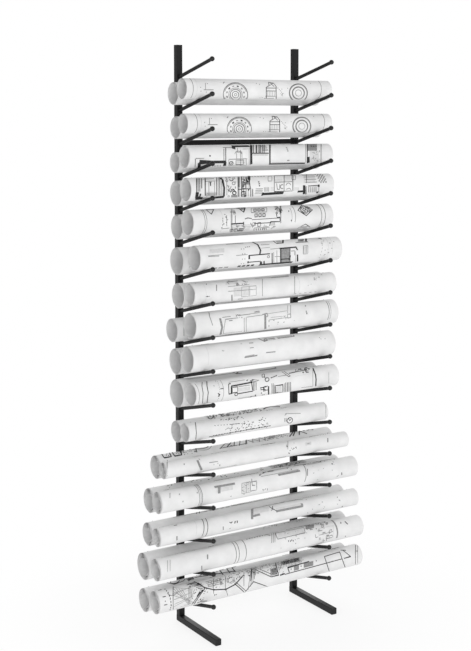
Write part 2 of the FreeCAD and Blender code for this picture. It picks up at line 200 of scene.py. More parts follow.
def make_piece(name, points, faces, materials, face_materials=None, smooth=True):
    """A mesh object from points in millimetres."""
    mesh = bpy.data.meshes.new(name)
    mesh.from_pydata([(x * MM, y * MM, z * MM) for x, y, z in points], [], faces)
    for material in materials:
        mesh.materials.append(material)
    if face_materials:
        mesh.polygons.foreach_set("material_index", face_materials)
    if smooth:
        mesh.shade_smooth()
        mesh.set_sharp_from_angle(angle=CREASE)
    mesh.update()
    piece = bpy.data.objects.new(name, mesh)
    bpy.context.scene.collection.objects.link(piece)
    return piece


# ---------------------------------------------------------------- a wound sheet

# Where the rack is looked at from. The linework is laid so that straight lines look straight and
# round parts look round from here. From elsewhere they follow the curve of the roll.
EYE = (-2383.5, -3619.1, 1775.3)
SIGHT_LIMIT = math.radians(82)
ROUND_ACROSS = 1.2  # how much wider than high a round part is drawn, to look round to the eye

SHEET_THICKNESS = 0.5  # several thin sheets wound together, drawn as one
STEPS_PER_TURN = 60
LENGTH_STEP = 50
PRINT_MARGIN = 2  # the print stops this far from the edges of the sheet
WAVE_DEPTH = 0.35  # how far the outer turn dips from a true cylinder
SLOW_WAVE, QUICK_WAVE = 210, 130  # how far along the roll the dips drift by one radian
INSET_RANGE = (0.5, 3.5)  # how far the innermost turns stop short of the outer one's edge
SIGHT_EDGE = 0.99  # a place brought into sight lies this share of the way to the limit
SAG = 0.5  # how far each turn hangs below the one outside it, as a share of their spacing
FREE_EDGE_DEGREES = -100  # where the outer edge of the sheet ends: underneath, towards the uprights


class Roll:
    """One wound sheet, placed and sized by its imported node.

    Angles are measured from the roll's front, upwards and over the top. Around the outer turn a
    place is also given as its distance in millimetres from the front line, up being positive."""

    def __init__(self, node, seed, turns, pitch, curl):
        low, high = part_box(node)
        self.node = node
        self.left, self.right = low[0] / MM, high[0] / MM
        self.axis_y = (low[1] + high[1]) / 2 / MM
        self.axis_z = (low[2] + high[2]) / 2 / MM
        self.radius = (high[2] - low[2]) / 2 / MM
        self.random = random.Random(seed)
        self.turns, self.pitch, self.curl = turns, pitch, curl
        self.eye_slope = math.atan2(EYE[2] - self.axis_z, self.axis_y - EYE[1])
        self.phases = [self.random.uniform(0, math.tau) for _ in range(3)]
        self.inset = [self.random.uniform(*INSET_RANGE) for _ in range(2)]

    def wound_radius(self, turn):
        """The sheet's outer radius after so many turns from its outer edge."""
        loose = max(0.0, turn - self.turns + 1)
        return self.radius - self.pitch * turn - self.curl * loose**2

    def wave(self, x, angle):
        """How far the paper dips inwards, which keeps a wound sheet from being a true cylinder."""
        first, second, third = self.phases
        slow = math.sin(2 * angle + first + x / SLOW_WAVE)
        quick = math.sin(3 * angle + second) * math.sin(x / QUICK_WAVE + third)
        return WAVE_DEPTH * (2 + (slow + quick)) / 4

    def point(self, x, angle, radius, turn=0.0):
        """A point of the winding. The inner turns hang down onto the ones outside them."""
        sag = SAG * self.pitch * turn
        return (x, self.axis_y - radius * math.cos(angle), self.axis_z + radius * math.sin(angle) - sag)

    def skin(self, x, around, lift):
        """The point on the outer turn at that place, lifted off the paper."""
        x = min(max(x, self.left + PRINT_MARGIN), self.right - PRINT_MARGIN)
        angle = around / self.radius
        turn = ((angle - math.radians(FREE_EDGE_DEGREES)) % math.tau) / math.tau
        return self.point(x, angle, self.wound_radius(turn) - self.wave(x, angle) + lift)

    def in_sight(self, around):
        """Whether that place on the outer turn faces the eye."""
        return abs(around / self.radius - self.eye_slope) < SIGHT_LIMIT

    def into_sight(self, x, around):
        """The same place, or the nearest one around the roll that still faces the eye."""
        low, high = (self.radius * (self.eye_slope + side * SIGHT_LIMIT * SIGHT_EDGE) for side in (-1, 1))
        return x, min(max(around, low), high)

    def seen(self, x, around):
        """Where a place on the outer turn appears, on an upright pane through the roll's axis."""
        place = self.point(x, around / self.radius, self.radius)
        share = (self.axis_y - EYE[1]) / (place[1] - EYE[1])
        return tuple(EYE[i] + (place[i] - EYE[i]) * share for i in (0, 2))

    def unseen(self, across, up):
        """The place on the outer turn that appears there on the pane, or None beside the roll."""
        run, rise = self.axis_y - EYE[1], up - EYE[2]
        drop = self.axis_z - EYE[2]
        length = run**2 + rise**2
        middle = run**2 + rise * drop
        inside = middle**2 - length * (run**2 + drop**2 - self.radius**2)
        if inside <= 0:
            return None
        share = (middle - math.sqrt(inside)) / length
        angle = math.atan2(rise * share - drop, run - run * share)
        if abs(angle - self.eye_slope) > SIGHT_LIMIT:
            return None
        return EYE[0] + (across - EYE[0]) * share, angle * self.radius

    def end_at(self, side, turn):
        """Where the sheet ends along the roll: the inner turns are not quite flush."""
        depth = self.inset[side] * (1 - math.cos(math.pi * min(1.0, max(0.0, turn - 1) / 2))) / 2
        return self.left + depth if side == 0 else self.right - depth

    def sheet(self):
        """The wound sheet as one closed mesh."""
        around = round(self.turns * STEPS_PER_TURN)
        along = max(2, round((self.right - self.left) / LENGTH_STEP))
        points, faces, sides = [], [], []
        for i in range(around + 1):
            turn = i / STEPS_PER_TURN
            angle = math.radians(FREE_EDGE_DEGREES) + turn * math.tau
            start, stop = self.end_at(0, turn), self.end_at(1, turn)
            for j in range(along + 1):
                x = start + (stop - start) * j / along
                radius = self.wound_radius(turn) - self.wave(x, angle)
                points.append(self.point(x, angle, radius, turn))
                points.append(self.point(x, angle, radius - SHEET_THICKNESS, turn))
        row = 2 * (along + 1)
        for i in range(around):
            for j in range(along):
                corner = i * row + 2 * j
                outer = (corner, corner + 2, corner + row + 2, corner + row)
                faces.append(outer)
                faces.append(tuple(k + 1 for k in reversed(outer)))
                sides += [0, 1]
            for corner in (i * row, i * row + 2 * along):
                rim = (corner, corner + row, corner + row + 1, corner + 1)
                faces.append(rim if corner == i * row else rim[::-1])
                sides.append(0)
        for corner in (0, around * row):
            for j in range(along):
                edge = (corner + 2 * j, corner + 2 * j + 1, corner + 2 * j + 3, corner + 2 * j + 2)
                faces.append(edge if corner == 0 else edge[::-1])
                sides.append(0)
        # The inner faces take the greyer back: painted shade for the dim inside of the roll.
        piece = make_piece(self.node + "_sheet", points, faces, [paper, paper_back_painted_shade], sides)
        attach(piece, self.node)
        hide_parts(self.node)
        return piece


# ---------------------------------------------------------------- the pen

HAIR, FINE, LINE, HEAVY, BOLD, WALL = 1.4, 2.0, 2.7, 3.6, 4.8, 8.0  # line widths
# A width given as a number belongs to that stroke alone, and is mostly the thickness of a wall.
INK_SINK = 0.12  # how far the print reaches into the paper
AROUND_STEP, ALONG_STEP = 4.2, 60  # the longest stretches of a line that may stay straight
UPRIGHT_LEAN = 0.3  # a stroke that leans less than this, as run over rise, is drawn upright
LEAST_MITRE = 0.6  # keeps a line from growing too wide where it turns sharply
ARC_PARTS_PER_MM, LEAST_CIRCLE_PARTS, LEAST_ARC_PARTS = 1.2, 12, 6
BLACK, GREY, LIGHT = 0, 1, 2  # tones
INK_LIFT = (0.28, 0.2, 0.12)  # how far each tone stands off the paper, so that black lies uppermost


class Pen:
    """Draws on the outer turn of a roll, and makes the print as one piece."""

    def __init__(self, roll):
        self.roll = roll
        self.points, self.faces, self.inks = [], [], []

    def path(self, corners, width=FINE, tone=BLACK, closed=False):
        """A line through corners, each (distance along the roll, distance around it)."""
        stops = self.subdivide(corners + corners[:1] if closed else corners)
        if closed:
            stops.pop()
        count = len(stops)
        across = max(1, math.ceil(width / AROUND_STEP))
        rows = []
        for i, (x, s) in enumerate(stops):
            before = stops[i - 1] if i or closed else stops[i]
            after = stops[(i + 1) % count] if i < count - 1 or closed else stops[i]
            side_x, side_s = self.mitre(before, (x, s), after)
            offs = [(k / across - 0.5) * width for k in range(across + 1)]
            rows.append([(x + side_x * off, s + side_s * off) for off in offs])
        self.slab(rows, tone, closed)

    def slab(self, rows, tone, closed=False):
        """A thin solid print over a grid of places, given row by row."""
        first, under = len(self.points), len(rows[0])
        across, ring, count = under - 1, 2 * under, len(rows)
        for row in rows:
            for lift in (INK_LIFT[tone], -INK_SINK):
                self.points += [self.roll.skin(x, s, lift) for x, s in row]
        for i in range(count if closed else count - 1):
            here, there = first + i * ring, first + (i + 1) % count * ring
            for k in range(across):
                a, b = here + under + k, there + under + k
                self.face(tone, here + k, here + k + 1, there + k + 1, there + k)
                self.face(tone, a, b, b + 1, a + 1)
            self.face(tone, here, there, there + under, here + under)
            self.face(tone, here + across, here + under + across, there + under + across, there + across)
        if not closed:
            last = first + (count - 1) * ring
            for k in range(across):
                self.face(tone, first + k, first + under + k, first + under + k + 1, first + k + 1)
                self.face(tone, last + k, last + k + 1, last + under + k + 1, last + under + k)

    def face(self, tone, *corners):
        self.faces.append(corners)
        self.inks.append(tone)

    def subdivide(self, corners, parts=0):
        """The corners with stops put between them, in line as the eye sees them."""
        stops = [corners[0]]
        for near, far in zip(corners, corners[1:]):
            steps = parts or max(
                1,
                math.ceil(abs(far[1] - near[1]) / AROUND_STEP),
                math.ceil(abs(far[0] - near[0]) / ALONG_STEP),
            )
            facing = self.roll.in_sight(near[1]) or self.roll.in_sight(far[1])
            if facing:
                near, far = self.roll.into_sight(*near), self.roll.into_sight(*far)
            ends = [self.roll.seen(*near), self.roll.seen(*far)] if facing else [near, far]
            for i in range(1, steps):
                spot = [a + (b - a) * i / steps for a, b in zip(*ends)]
                stops.append(self.roll.unseen(*spot) if facing else tuple(spot))
            stops.append(far)
        return [stop for stop in stops if stop]

    @staticmethod
    def mitre(before, here, after):
        """The direction across the line at a stop, longer where the line turns."""
        ahead = (after[0] - before[0], after[1] - before[1])
        size = math.hypot(*ahead) or 1.0
        across = (-ahead[1] / size, ahead[0] / size)
        leg = (here[0] - before[0], here[1] - before[1])
        if leg == (0, 0):
            leg = (after[0] - here[0], after[1] - here[1])
        size = math.hypot(*leg) or 1.0
        lean = max(LEAST_MITRE, abs(across[0] * -leg[1] / size + across[1] * leg[0] / size))
        return across[0] / lean, across[1] / lean

    def seam(self, x0, s0, x1, s1, width=FINE, tone=GREY):
        """A line that follows the curve of the roll, as a printed border does."""
        steps = max(2, math.ceil(abs(s1 - s0) / AROUND_STEP))
        stops = [(x0 + (x1 - x0) * i / steps, s0 + (s1 - s0) * i / steps) for i in range(steps + 1)]
        self.path(stops, width, tone)

    def upright(self, x, low, high):
        """The two ends of a stroke at x that looks upright to the eye."""
        middle = (low + high) / 2
        if not self.roll.in_sight(middle):
            return [(x, low), (x, high)]
        across = self.roll.seen(x, middle)[0]
        ends = [self.roll.into_sight(x, s) for s in (low, high)]
        return [self.roll.unseen(across, self.roll.seen(*end)[1]) or end for end in ends]

    def line(self, x0, s0, x1, s1, width=FINE, tone=BLACK):
        """A straight stroke. One that hardly leans is drawn upright to the eye."""
        leans = abs(x1 - x0) > UPRIGHT_LEAN * abs(s1 - s0)
        self.path([(x0, s0), (x1, s1)] if leans else self.upright((x0 + x1) / 2, s0, s1), width, tone)

    def box(self, x0, s0, x1, s1, width=FINE, tone=BLACK):
        left, right = self.upright(x0, s0, s1), self.upright(x1, s0, s1)
        self.path([left[0], right[0], right[1], left[1]], width, tone, closed=True)

    def fill(self, x0, s0, x1, s1, tone=GREY):
        """A flat tint over a box."""
        parts = max(1, math.ceil(abs(s1 - s0) / AROUND_STEP))
        near, far = (self.subdivide(self.upright(x, s0, s1), parts) for x in (x0, x1))
        along = max(1, math.ceil(abs(x1 - x0) / ALONG_STEP))
        rows = [
            [tuple(a + (b - a) * k / along for a, b in zip(*ends)) for k in range(along + 1)]
            for ends in zip(near, far)
        ]
        self.slab(rows, tone)

    def lines(self, width, tone, *strokes):
        """Straight strokes with one pen, each (x0, s0, x1, s1)."""
        for stroke in strokes:
            self.line(*stroke, width, tone)

    def boxes(self, width, tone, *corners):
        for pair in corners:
            self.box(*pair, width, tone)

    def fills(self, tone, *corners):
        for pair in corners:
            self.fill(*pair, tone)

    def arc(self, x, s, radius, start=0, stop=360, width=FINE, tone=BLACK):
        """An arc that looks round to the eye, from start to stop in degrees, going up."""
        full_circle = max(LEAST_CIRCLE_PARTS, radius * ARC_PARTS_PER_MM)
        parts = max(LEAST_ARC_PARTS, math.ceil(abs(stop - start) / 360 * full_circle))
        turns = [math.radians(start + (stop - start) * i / parts) for i in range(parts + 1)]
        if self.roll.in_sight(s):
            middle = self.roll.seen(x, s)
            wide = radius * ROUND_ACROSS
            spots = [
                self.roll.unseen(middle[0] + wide * math.cos(a), middle[1] + radius * math.sin(a))
                for a in turns
            ]
        else:
            spots = [(x + radius * math.cos(a), s + radius * math.sin(a)) for a in turns]
        if stop - start == 360 and all(spots):
            self.path(spots[:-1], width, tone, closed=True)
            return
        run = []
        for spot in spots + [None]:
            if spot:
                run.append(spot)
            elif len(run) > 1:
                self.path(run, width, tone)
            if not spot:
                run = []

    def dashes(self, x0, s0, x1, s1, dash=5, gap=4, width=FINE, tone=BLACK):
        """A broken line."""
        length = math.hypot(x1 - x0, s1 - s0)
        count = max(1, int((length + gap) / (dash + gap)))
        step_x, step_s = (x1 - x0) / length, (s1 - s0) / length
        for i in range(count):
            near = i * (dash + gap)
            far = near + dash
            self.line(
                x0 + step_x * near, s0 + step_s * near, x0 + step_x * far, s0 + step_s * far, width, tone
            )

    def hatch(self, x0, s0, x1, s1, step=5, slant=0, width=HAIR, tone=BLACK):
        """Parallel lines across a box, each leaning by slant millimetres."""
        for i in range(int((x1 - x0) / step) + 1):
            x = x0 + i * step
            self.line(x, s0, x + slant, s1, width, tone)

    def rungs(self, x0, s0, x1, s1, step=5, width=HAIR, tone=BLACK):
        """Parallel lines along the roll, one above the other."""
        for i in range(int((s1 - s0) / step) + 1):
            self.line(x0, s0 + i * step, x1, s0 + i * step, width, tone)

    def marks(self, *spots, size=3, width=LINE, tone=BLACK):
        """Short ticks, such as survey points."""
        for x, s in spots:
            self.line(x, s - size / 2, x, s + size / 2, width, tone)

    def node_dots(self, *spots, size=4):
        for x, s in spots:
            self.path([(x - size / 2, s), (x + size / 2, s)], size)

    def finish(self):
        """The print as one piece on its roll."""
        if not self.faces:
            return
        tones = [ink, grey_ink, light_ink]
        name = self.roll.node + "_print"
        piece = make_piece(name, self.points, self.faces, tones, self.inks, smooth=False)
        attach(piece, self.roll.node)


# ---------------------------------------------------------------- drawn details


def bearing_face(pen, x, s, radius):
    """A round machine part seen from the front: rim, bolt holes and hub."""
    pen.arc(x, s, radius, width=FINE)
    pen.arc(x, s, radius * 0.92, 15, 165, LINE, GREY)
    pen.arc(x, s, radius * 0.92, 195, 345, LINE, GREY)
    for i in range(12):
        middle = 30 * i + 15
        pen.arc(x, s, radius * 0.72, middle - 6, middle + 6, 5 if i % 3 else HEAVY, GREY if i % 2 else BLACK)
    pen.arc(x, s, radius * 0.56, width=FINE, tone=GREY)
    pen.arc(x, s, radius * 0.44, width=HEAVY, tone=GREY)
    pen.arc(x, s, radius * 0.27, width=FINE)
    pen.arc(x, s, radius * 0.1, width=FINE, tone=GREY)


def pulley_face(pen, x, s, radius):
    """Plain rings, as of a pulley seen from the front."""
    pen.arc(x, s, radius * 0.96, width=BOLD, tone=GREY)
    pen.arc(x, s, radius, width=HAIR)
    pen.arc(x, s, radius * 0.64, width=BOLD, tone=GREY)
    pen.arc(x, s, radius * 0.66, width=HAIR)
    pen.arc(x, s, radius * 0.34, width=FINE, tone=GREY)


def housing_section(pen, x, s):
    """A small housing cut through: two walls, two floors and a sloping lid."""
    pen.line(x, s - 36, x, s + 8, LINE)
    pen.line(x + 41, s - 40, x + 41, s + 10, LINE)
    pen.path([(x, s + 8), (x + 12, s + 14), (x + 14, s + 28), (x + 34, s + 24), (x + 41, s + 10)], FINE)
    for level in (5, -5, -25, -36):
        pen.line(x, s + level, x + 41, s + level, FINE)
    pen.line(x + 14, s + 14, x + 34, s + 26, HAIR)
    pen.line(x + 20, s + 26, x + 32, s + 10, FINE)
    pen.hatch(x + 3, s - 24, x + 38, s - 6, 7, 5, HAIR, GREY)
    pen.dashes(x + 46, s + 6, x + 72, s - 18, 2, 5, LINE)
    pen.marks((x - 18, s - 34), (x - 10, s - 32), (x - 38, s + 22), (x - 26, s + 18), size=2)


def door_swing(pen, x, s, leaf, start=0):
    """A door leaf and the quarter circle that it sweeps."""
    pen.arc(x, s, leaf, start, start + 90, HAIR)
    turn = math.radians(start)
    pen.line(x, s, x + leaf * math.cos(turn), s + leaf * math.sin(turn), FINE)


def window_row(pen, x, s, count, wide=11, high=11):
    for i in range(count):
        left = x + i * (wide + 5)
        pen.box(left, s, left + wide, s + high, FINE)
        pen.line(left + wide / 2, s, left + wide / 2, s + high, HAIR)


def table_set(pen, x, s, wide, high):
    """A table with its chairs."""
    pen.box(x, s, x + wide, s + high, FINE)
    for i in range(3):
        seat = x + wide * (i + 0.5) / 3
        pen.box(seat - 3, s + high + 2, seat + 3, s + high + 6, HAIR)
        pen.box(seat - 3, s - 6, seat + 3, s - 2, HAIR)


def checker(pen, x, s, columns, rows, tile):
    """A tiled floor."""
    for i in range(columns):
        for j in range(rows):
            if (i + j) % 2:
                pen.fill(x + i * tile, s + j * tile, x + (i + 1) * tile, s + (j + 1) * tile)


def texture_band(pen, rng, x0, x1, s0, s1, count, tone=BLACK):
    """A dense scatter of short strokes, such as planting or rubble on a site plan."""
    for _ in range(count):
        x, s = rng.uniform(x0, x1), rng.uniform(s0, s1)
        turn = rng.uniform(0, math.pi)
        reach = rng.uniform(2, 7)
        end = (x + reach * math.cos(turn), s + reach * math.sin(turn) * 0.6)
        pen.line(x, s, *end, rng.choice((FINE, LINE)), tone)


def fittings(pen, rng, x0, x1, s0, s1, count, tone=BLACK):
    """Small crowded fittings: cupboards, basins, posts and short runs of pipe."""
    for _ in range(count):
        x, s = rng.uniform(x0, x1), rng.uniform(s0, s1)
        wide, high = rng.uniform(4, 13), rng.uniform(4, 11)
        kind = rng.randrange(6)
        if kind == 0:
            pen.box(x, s, x + wide, s + high, FINE, tone)
        elif kind == 1:
            pen.line(x, s, x, s + high, rng.choice((LINE, HEAVY)), tone)
        elif kind == 2:
            pen.line(x, s, x + wide, s, LINE, tone)
        elif kind == 3:
            pen.arc(x, s, high / 2.5, width=FINE, tone=tone)
        elif kind == 4:
            pen.fill(x, s, x + wide, s + high * 0.6, rng.choice((GREY, LIGHT)))
        else:
            pen.path([(x, s + high), (x, s), (x + wide, s)], FINE, tone)


def drafting(pen, rng, x0, x1, s0, s1, rooms):
    """Everyday plan work for the sides of a sheet that face away from the eye."""
    pen.line(x0, s0, x0, s1, HAIR)
    pen.line(x1, s0, x1, s1, HAIR)
    for _ in range(rooms):
        wide, high = rng.uniform(25, 95), rng.uniform(12, 34)
        x = rng.uniform(x0 + 8, x1 - 8 - wide)
        s = rng.uniform(s0 + 4, max(s0 + 5, s1 - 4 - high))
        kind = rng.randrange(7)
        if kind == 0:
            pen.box(x, s, x + wide, s + high, LINE)
            door_swing(pen, x + wide * 0.3, s, min(10, high * 0.6), rng.choice((0, 90)))
        elif kind == 1:
            pen.path([(x, s + high), (x, s), (x + wide, s)], HEAVY)
            pen.hatch(x + 6, s + 3, x + wide * 0.6, s + high * 0.6, 5, 0, HAIR)
        elif kind == 2:
            pen.line(x, s, x + wide, s, HAIR)
            pen.marks((x, s), (x + wide, s), (x + wide / 2, s), size=4, width=FINE)
        elif kind == 3:
            pen.arc(x + high / 2, s + high / 2, high / 2, width=FINE)
            pen.arc(x + high / 2, s + high / 2, high / 4, width=HAIR)
        elif kind == 4:
            table_set(pen, x, s + 7, wide * 0.4, max(5, high - 16))
        elif kind == 5:
            pen.dashes(x, s, x + wide, s + rng.uniform(-6, 6), 4, 4, FINE)
            pen.line(x + wide, s, x + wide + 4, s + high * 0.6, LINE)
        else:
            pen.box(x, s, x + wide * 0.5, s + high, FINE)
            pen.fill(x + 2, s + 2, x + wide * 0.25, s + high - 2)


# ---------------------------------------------------------------- what each tier's sheets show

# Strokes of one pen are drawn together. The drawing's order doesn't show: darker tones lie higher.


def machine_sheet(pen, shift):
    """Two tiers hold the same sheet: a bearing, its housing in section and a pulley."""
    pen.seam(-276 + shift, -40, -276 + shift, 46)
    pen.seam(244 + shift, -40, 250 + shift, 46)
    pen.seam(-262 + shift, -40, -260 + shift, 46, HAIR, LIGHT)
    pen.line(-170 + shift, 24, -30 + shift, 25, HAIR, LIGHT)
    texture_band(pen, random.Random(7), 74 + shift, 104 + shift, -26, 22, 7)
    pen.line(-229 + shift, -3, -229 + shift, 20, FINE, GREY)
    pen.line(-236 + shift, -4, -198 + shift, -4, LINE, GREY)
    pen.marks((-248 + shift, 4), (-246 + shift, -9), (-225 + shift, -12), (-219 + shift, 18), size=2)
    bearing_face(pen, -108 + shift, -20, 41)
    pen.line(-157 + shift, 20, -150 + shift, 26, FINE)
    housing_section(pen, 15 + shift, 0)
    pulley_face(pen, 149 + shift, -11, 33)
    pen.marks((206 + shift, 27), size=2)


def tier_1(pen, back, rng):
    machine_sheet(pen, 0)


def tier_2(pen, back, rng):
    machine_sheet(pen, 17)


def tier_3(pen, back, rng):
    """A house plan with heavy outer walls."""
    pen.path([(-258, -42), (-266, -5), (-234, -5)], FINE, GREY)
    pen.fills(LIGHT, (-244, -42, -205, -27), (-38, 10, 24, 52), (200, -36, 240, 14))
    pen.path([(-239, -46), (-250, -19), (-148, -20), (-143, -40)], 11)
    pen.line(-268, -6, -262, -38, HAIR)
    pen.hatch(-190, -44, -160, -32, 6, 0, FINE, GREY)
    pen.line(-156, -14, -156, 28, FINE)
    pen.line(-149, -38, -149, 32, LINE)
    pen.line(-152, 34, -112, 34, FINE)
    pen.node_dots((-211, 3), size=5)
    pen.line(-108, 27, -108, 44, 13)
    pen.line(-112, 42, -42, 41, 12)
    pen.lines(
        FINE, GREY,
        (-100, 14, -96, 32), (-134, -11, -62, -10), (-40, 3, 22, 2), (44, -29, 188, -31),
        (182, -30, 182, 52),
    )
    pen.line(-90, -40, -88, 22, HAIR)
    pen.arc(-99, 7, 11, 0, 180, FINE, GREY)
    pen.box(-106, -10, -84, 14, FINE, GREY)
    pen.box(-132, -40, -62, -10, FINE, GREY)
    pen.rungs(-104, -32, -66, -18, 7, HAIR, GREY)
    pen.box(-104, -34, -74, -14, HAIR)
    pen.arc(-122, -26, 6, width=LINE)
    pen.node_dots((-122, -26), (-118, -34), size=4)
    pen.line(-76, 26, -44, 26, HAIR, GREY)
    pen.line(-56, -38, -54, 24, HAIR, GREY)
    pen.line(-46, -34, -46, 54, 9)
    for x, width in ((-30, LINE), (-18, BOLD), (-10, FINE), (-3, BOLD), (6, LINE), (14, LINE)):
        pen.line(x, 10, x, 52, width)
    pen.rungs(4, 20, 26, 50, 9, LINE)
    pen.line(-44, 9, 26, 8, HEAVY)
    pen.line(31, -34, 31, 54, 5.5)
    pen.line(36, -35, 190, -37, 7)
    pen.line(33, 51, 190, 52, LINE, GREY)
    pen.line(189, -34, 189, 54, HEAVY)
    pen.dashes(107, 13, 107, 32, 4, 3, BOLD, GREY)
    pen.line(106, -20, 116, -20, BOLD, GREY)
    pen.fill(200, 14, 240, 52)
    pen.node_dots((216, 34), (226, 33), (236, 34), size=5)
    pen.hatch(210, 18, 244, 50, 5, 0, HAIR, GREY)
    texture_band(pen, rng, 210, 246, -32, 14, 24, GREY)
    pen.line(197, -34, 197, -8, 11)
    pen.line(249, -34, 249, 50, HEAVY, GREY)


def tier_4(pen, back, rng):
    """A crowded plan: a service core on the left, a tiled hall on the right."""
    posts = ((-272, -8, HEAVY), (-266, -6, FINE), (-260, -6, LINE), (-251, 4, LINE), (-241, -22, HEAVY))
    for x, low, width in posts:
        pen.line(x, low, x, 48, width)
    for x, width in ((-196, LINE), (-190, HAIR), (-184, LINE), (-176, FINE)):
        pen.line(x, -24, x, 50, width)
    pen.line(-240, 42, -196, 42, HEAVY, GREY)
    pen.lines(HAIR, BLACK, (-237, 30, -196, 30), (-228, -22, -228, 28), (-157, -24, -157, 44))
    pen.line(-206, -22, -206, 28, FINE, GREY)
    pen.lines(HEAVY, BLACK, (-219, 12, -219, 26), (-88, 8, -88, 18), (-70, 20, -70, 28))
    pen.lines(
        FINE, BLACK,
        (-222, 26, -212, 26), (78, -16, 78, 49), (180, 10, 180, 56), (226, -30, 226, 4),
    )
    pen.fills(
        LIGHT,
        (-238, -26, -196, -8), (-40, -22, -12, -4), (-6, -16, 14, 0), (20, -14, 34, 0),
        (42, 18, 74, 30), (82, 20, 112, 46), (120, -16, 140, -4), (168, 10, 218, 56),
        (178, -28, 222, -2),
    )
    pen.rungs(-236, -24, -198, -10, 5, LINE, GREY)
    pen.path([(-272, -8), (-268, -34), (-246, -34)], 12)
    pen.line(-262, -20, -256, -20, 12)
    pen.line(-246, -35, -206, -34, 9, GREY)
    pen.line(-206, -34, -162, -31, 12)
    pen.path([(-163, -30), (-168, 3), (-166, 34), (-170, 48)], 7)
    pen.path([(-154, 12), (-146, -4), (-140, 8)], LINE, GREY)
    pen.arc(-130, 36, 6, 180, 360, LINE)
    pen.arc(-128, 18, 5, width=LINE, tone=GREY)
    pen.arc(-134, -8, 6, 0, 180, LINE)
    pen.path([(-154, -2), (-142, -12), (-130, -4), (-122, -14)], LINE)
    pen.arc(-126, -16, 6, width=HEAVY)
    pen.fill(-134, -36, -110, -24)
    for x, width in ((-112, HEAVY), (-106, FINE), (-98, HEAVY), (-90, LINE), (-80, LINE), (-72, FINE)):
        pen.line(x, -34, x, 50, width, BLACK if width == HEAVY else GREY)
    pen.fill(-110, 4, -100, 46)
    pen.boxes(
        FINE, BLACK,
        (-94, -2, -82, 20), (-74, 14, -62, 34), (-96, -32, -80, -12), (37, -17, 114, 50),
    )
    pen.lines(
        LINE, BLACK,
        (-112, -4, -70, -3), (-92, -30, -84, -16), (-60, -36, -58, -2), (-52, -36, -50, -4),
        (178, -1, 224, 0),
    )
    fittings(pen, rng, -154, -116, -30, 44, 9, GREY)
    fittings(pen, rng, -108, -66, -32, 44, 12)
    pen.line(-77, -36, -77, -28, 7)
    pen.line(-53, 30, -58, 56, 10)
    pen.path([(-62, 30), (-64, 0), (-72, -10)], HEAVY)
    pen.dashes(-26, 4, -26, 22, 4, 3, BOLD)
    pen.rungs(-42, -22, -12, -4, 6, FINE, GREY)
    pen.hatch(-6, -16, 14, 0, 6, 0, FINE, GREY)
    pen.dashes(-44, 48, 22, 47, 8, 4, HEAVY, GREY)
    pen.line(40, 16, 112, 17, LINE, GREY)
    pen.path([(46, 12), (48, -8), (58, -10), (58, 8)], LINE, GREY)
    pen.arc(68, 0, 7, 60, 300, HEAVY, GREY)
    pen.arc(94, 4, 8, 0, 180, LINE, GREY)
    pen.path([(86, -10), (98, -6), (106, -12)], LINE, GREY)
    pen.box(18, 22, 34, 46, FINE, GREY)
    pen.line(-12, -26, 78, -24, 11)
    pen.line(-12, -26, -4, -26, 14)
    pen.line(118, -18, 118, 46, HAIR, GREY)
    pen.box(118, 24, 134, 46, FINE, GREY)
    pen.line(137, -21, 170, -20, 8)
    pen.line(163, -34, 163, 2, 10)
    pen.line(172, -36, 172, -2, 6, GREY)
    pen.rungs(168, 12, 218, 56, 11, LINE, GREY)
    pen.hatch(182, -26, 218, -4, 8, 0, LINE, GREY)
    checker(pen, 226, 8, 6, 8, 5.6)
    pen.node_dots((224, -2), (224, -28), size=8)


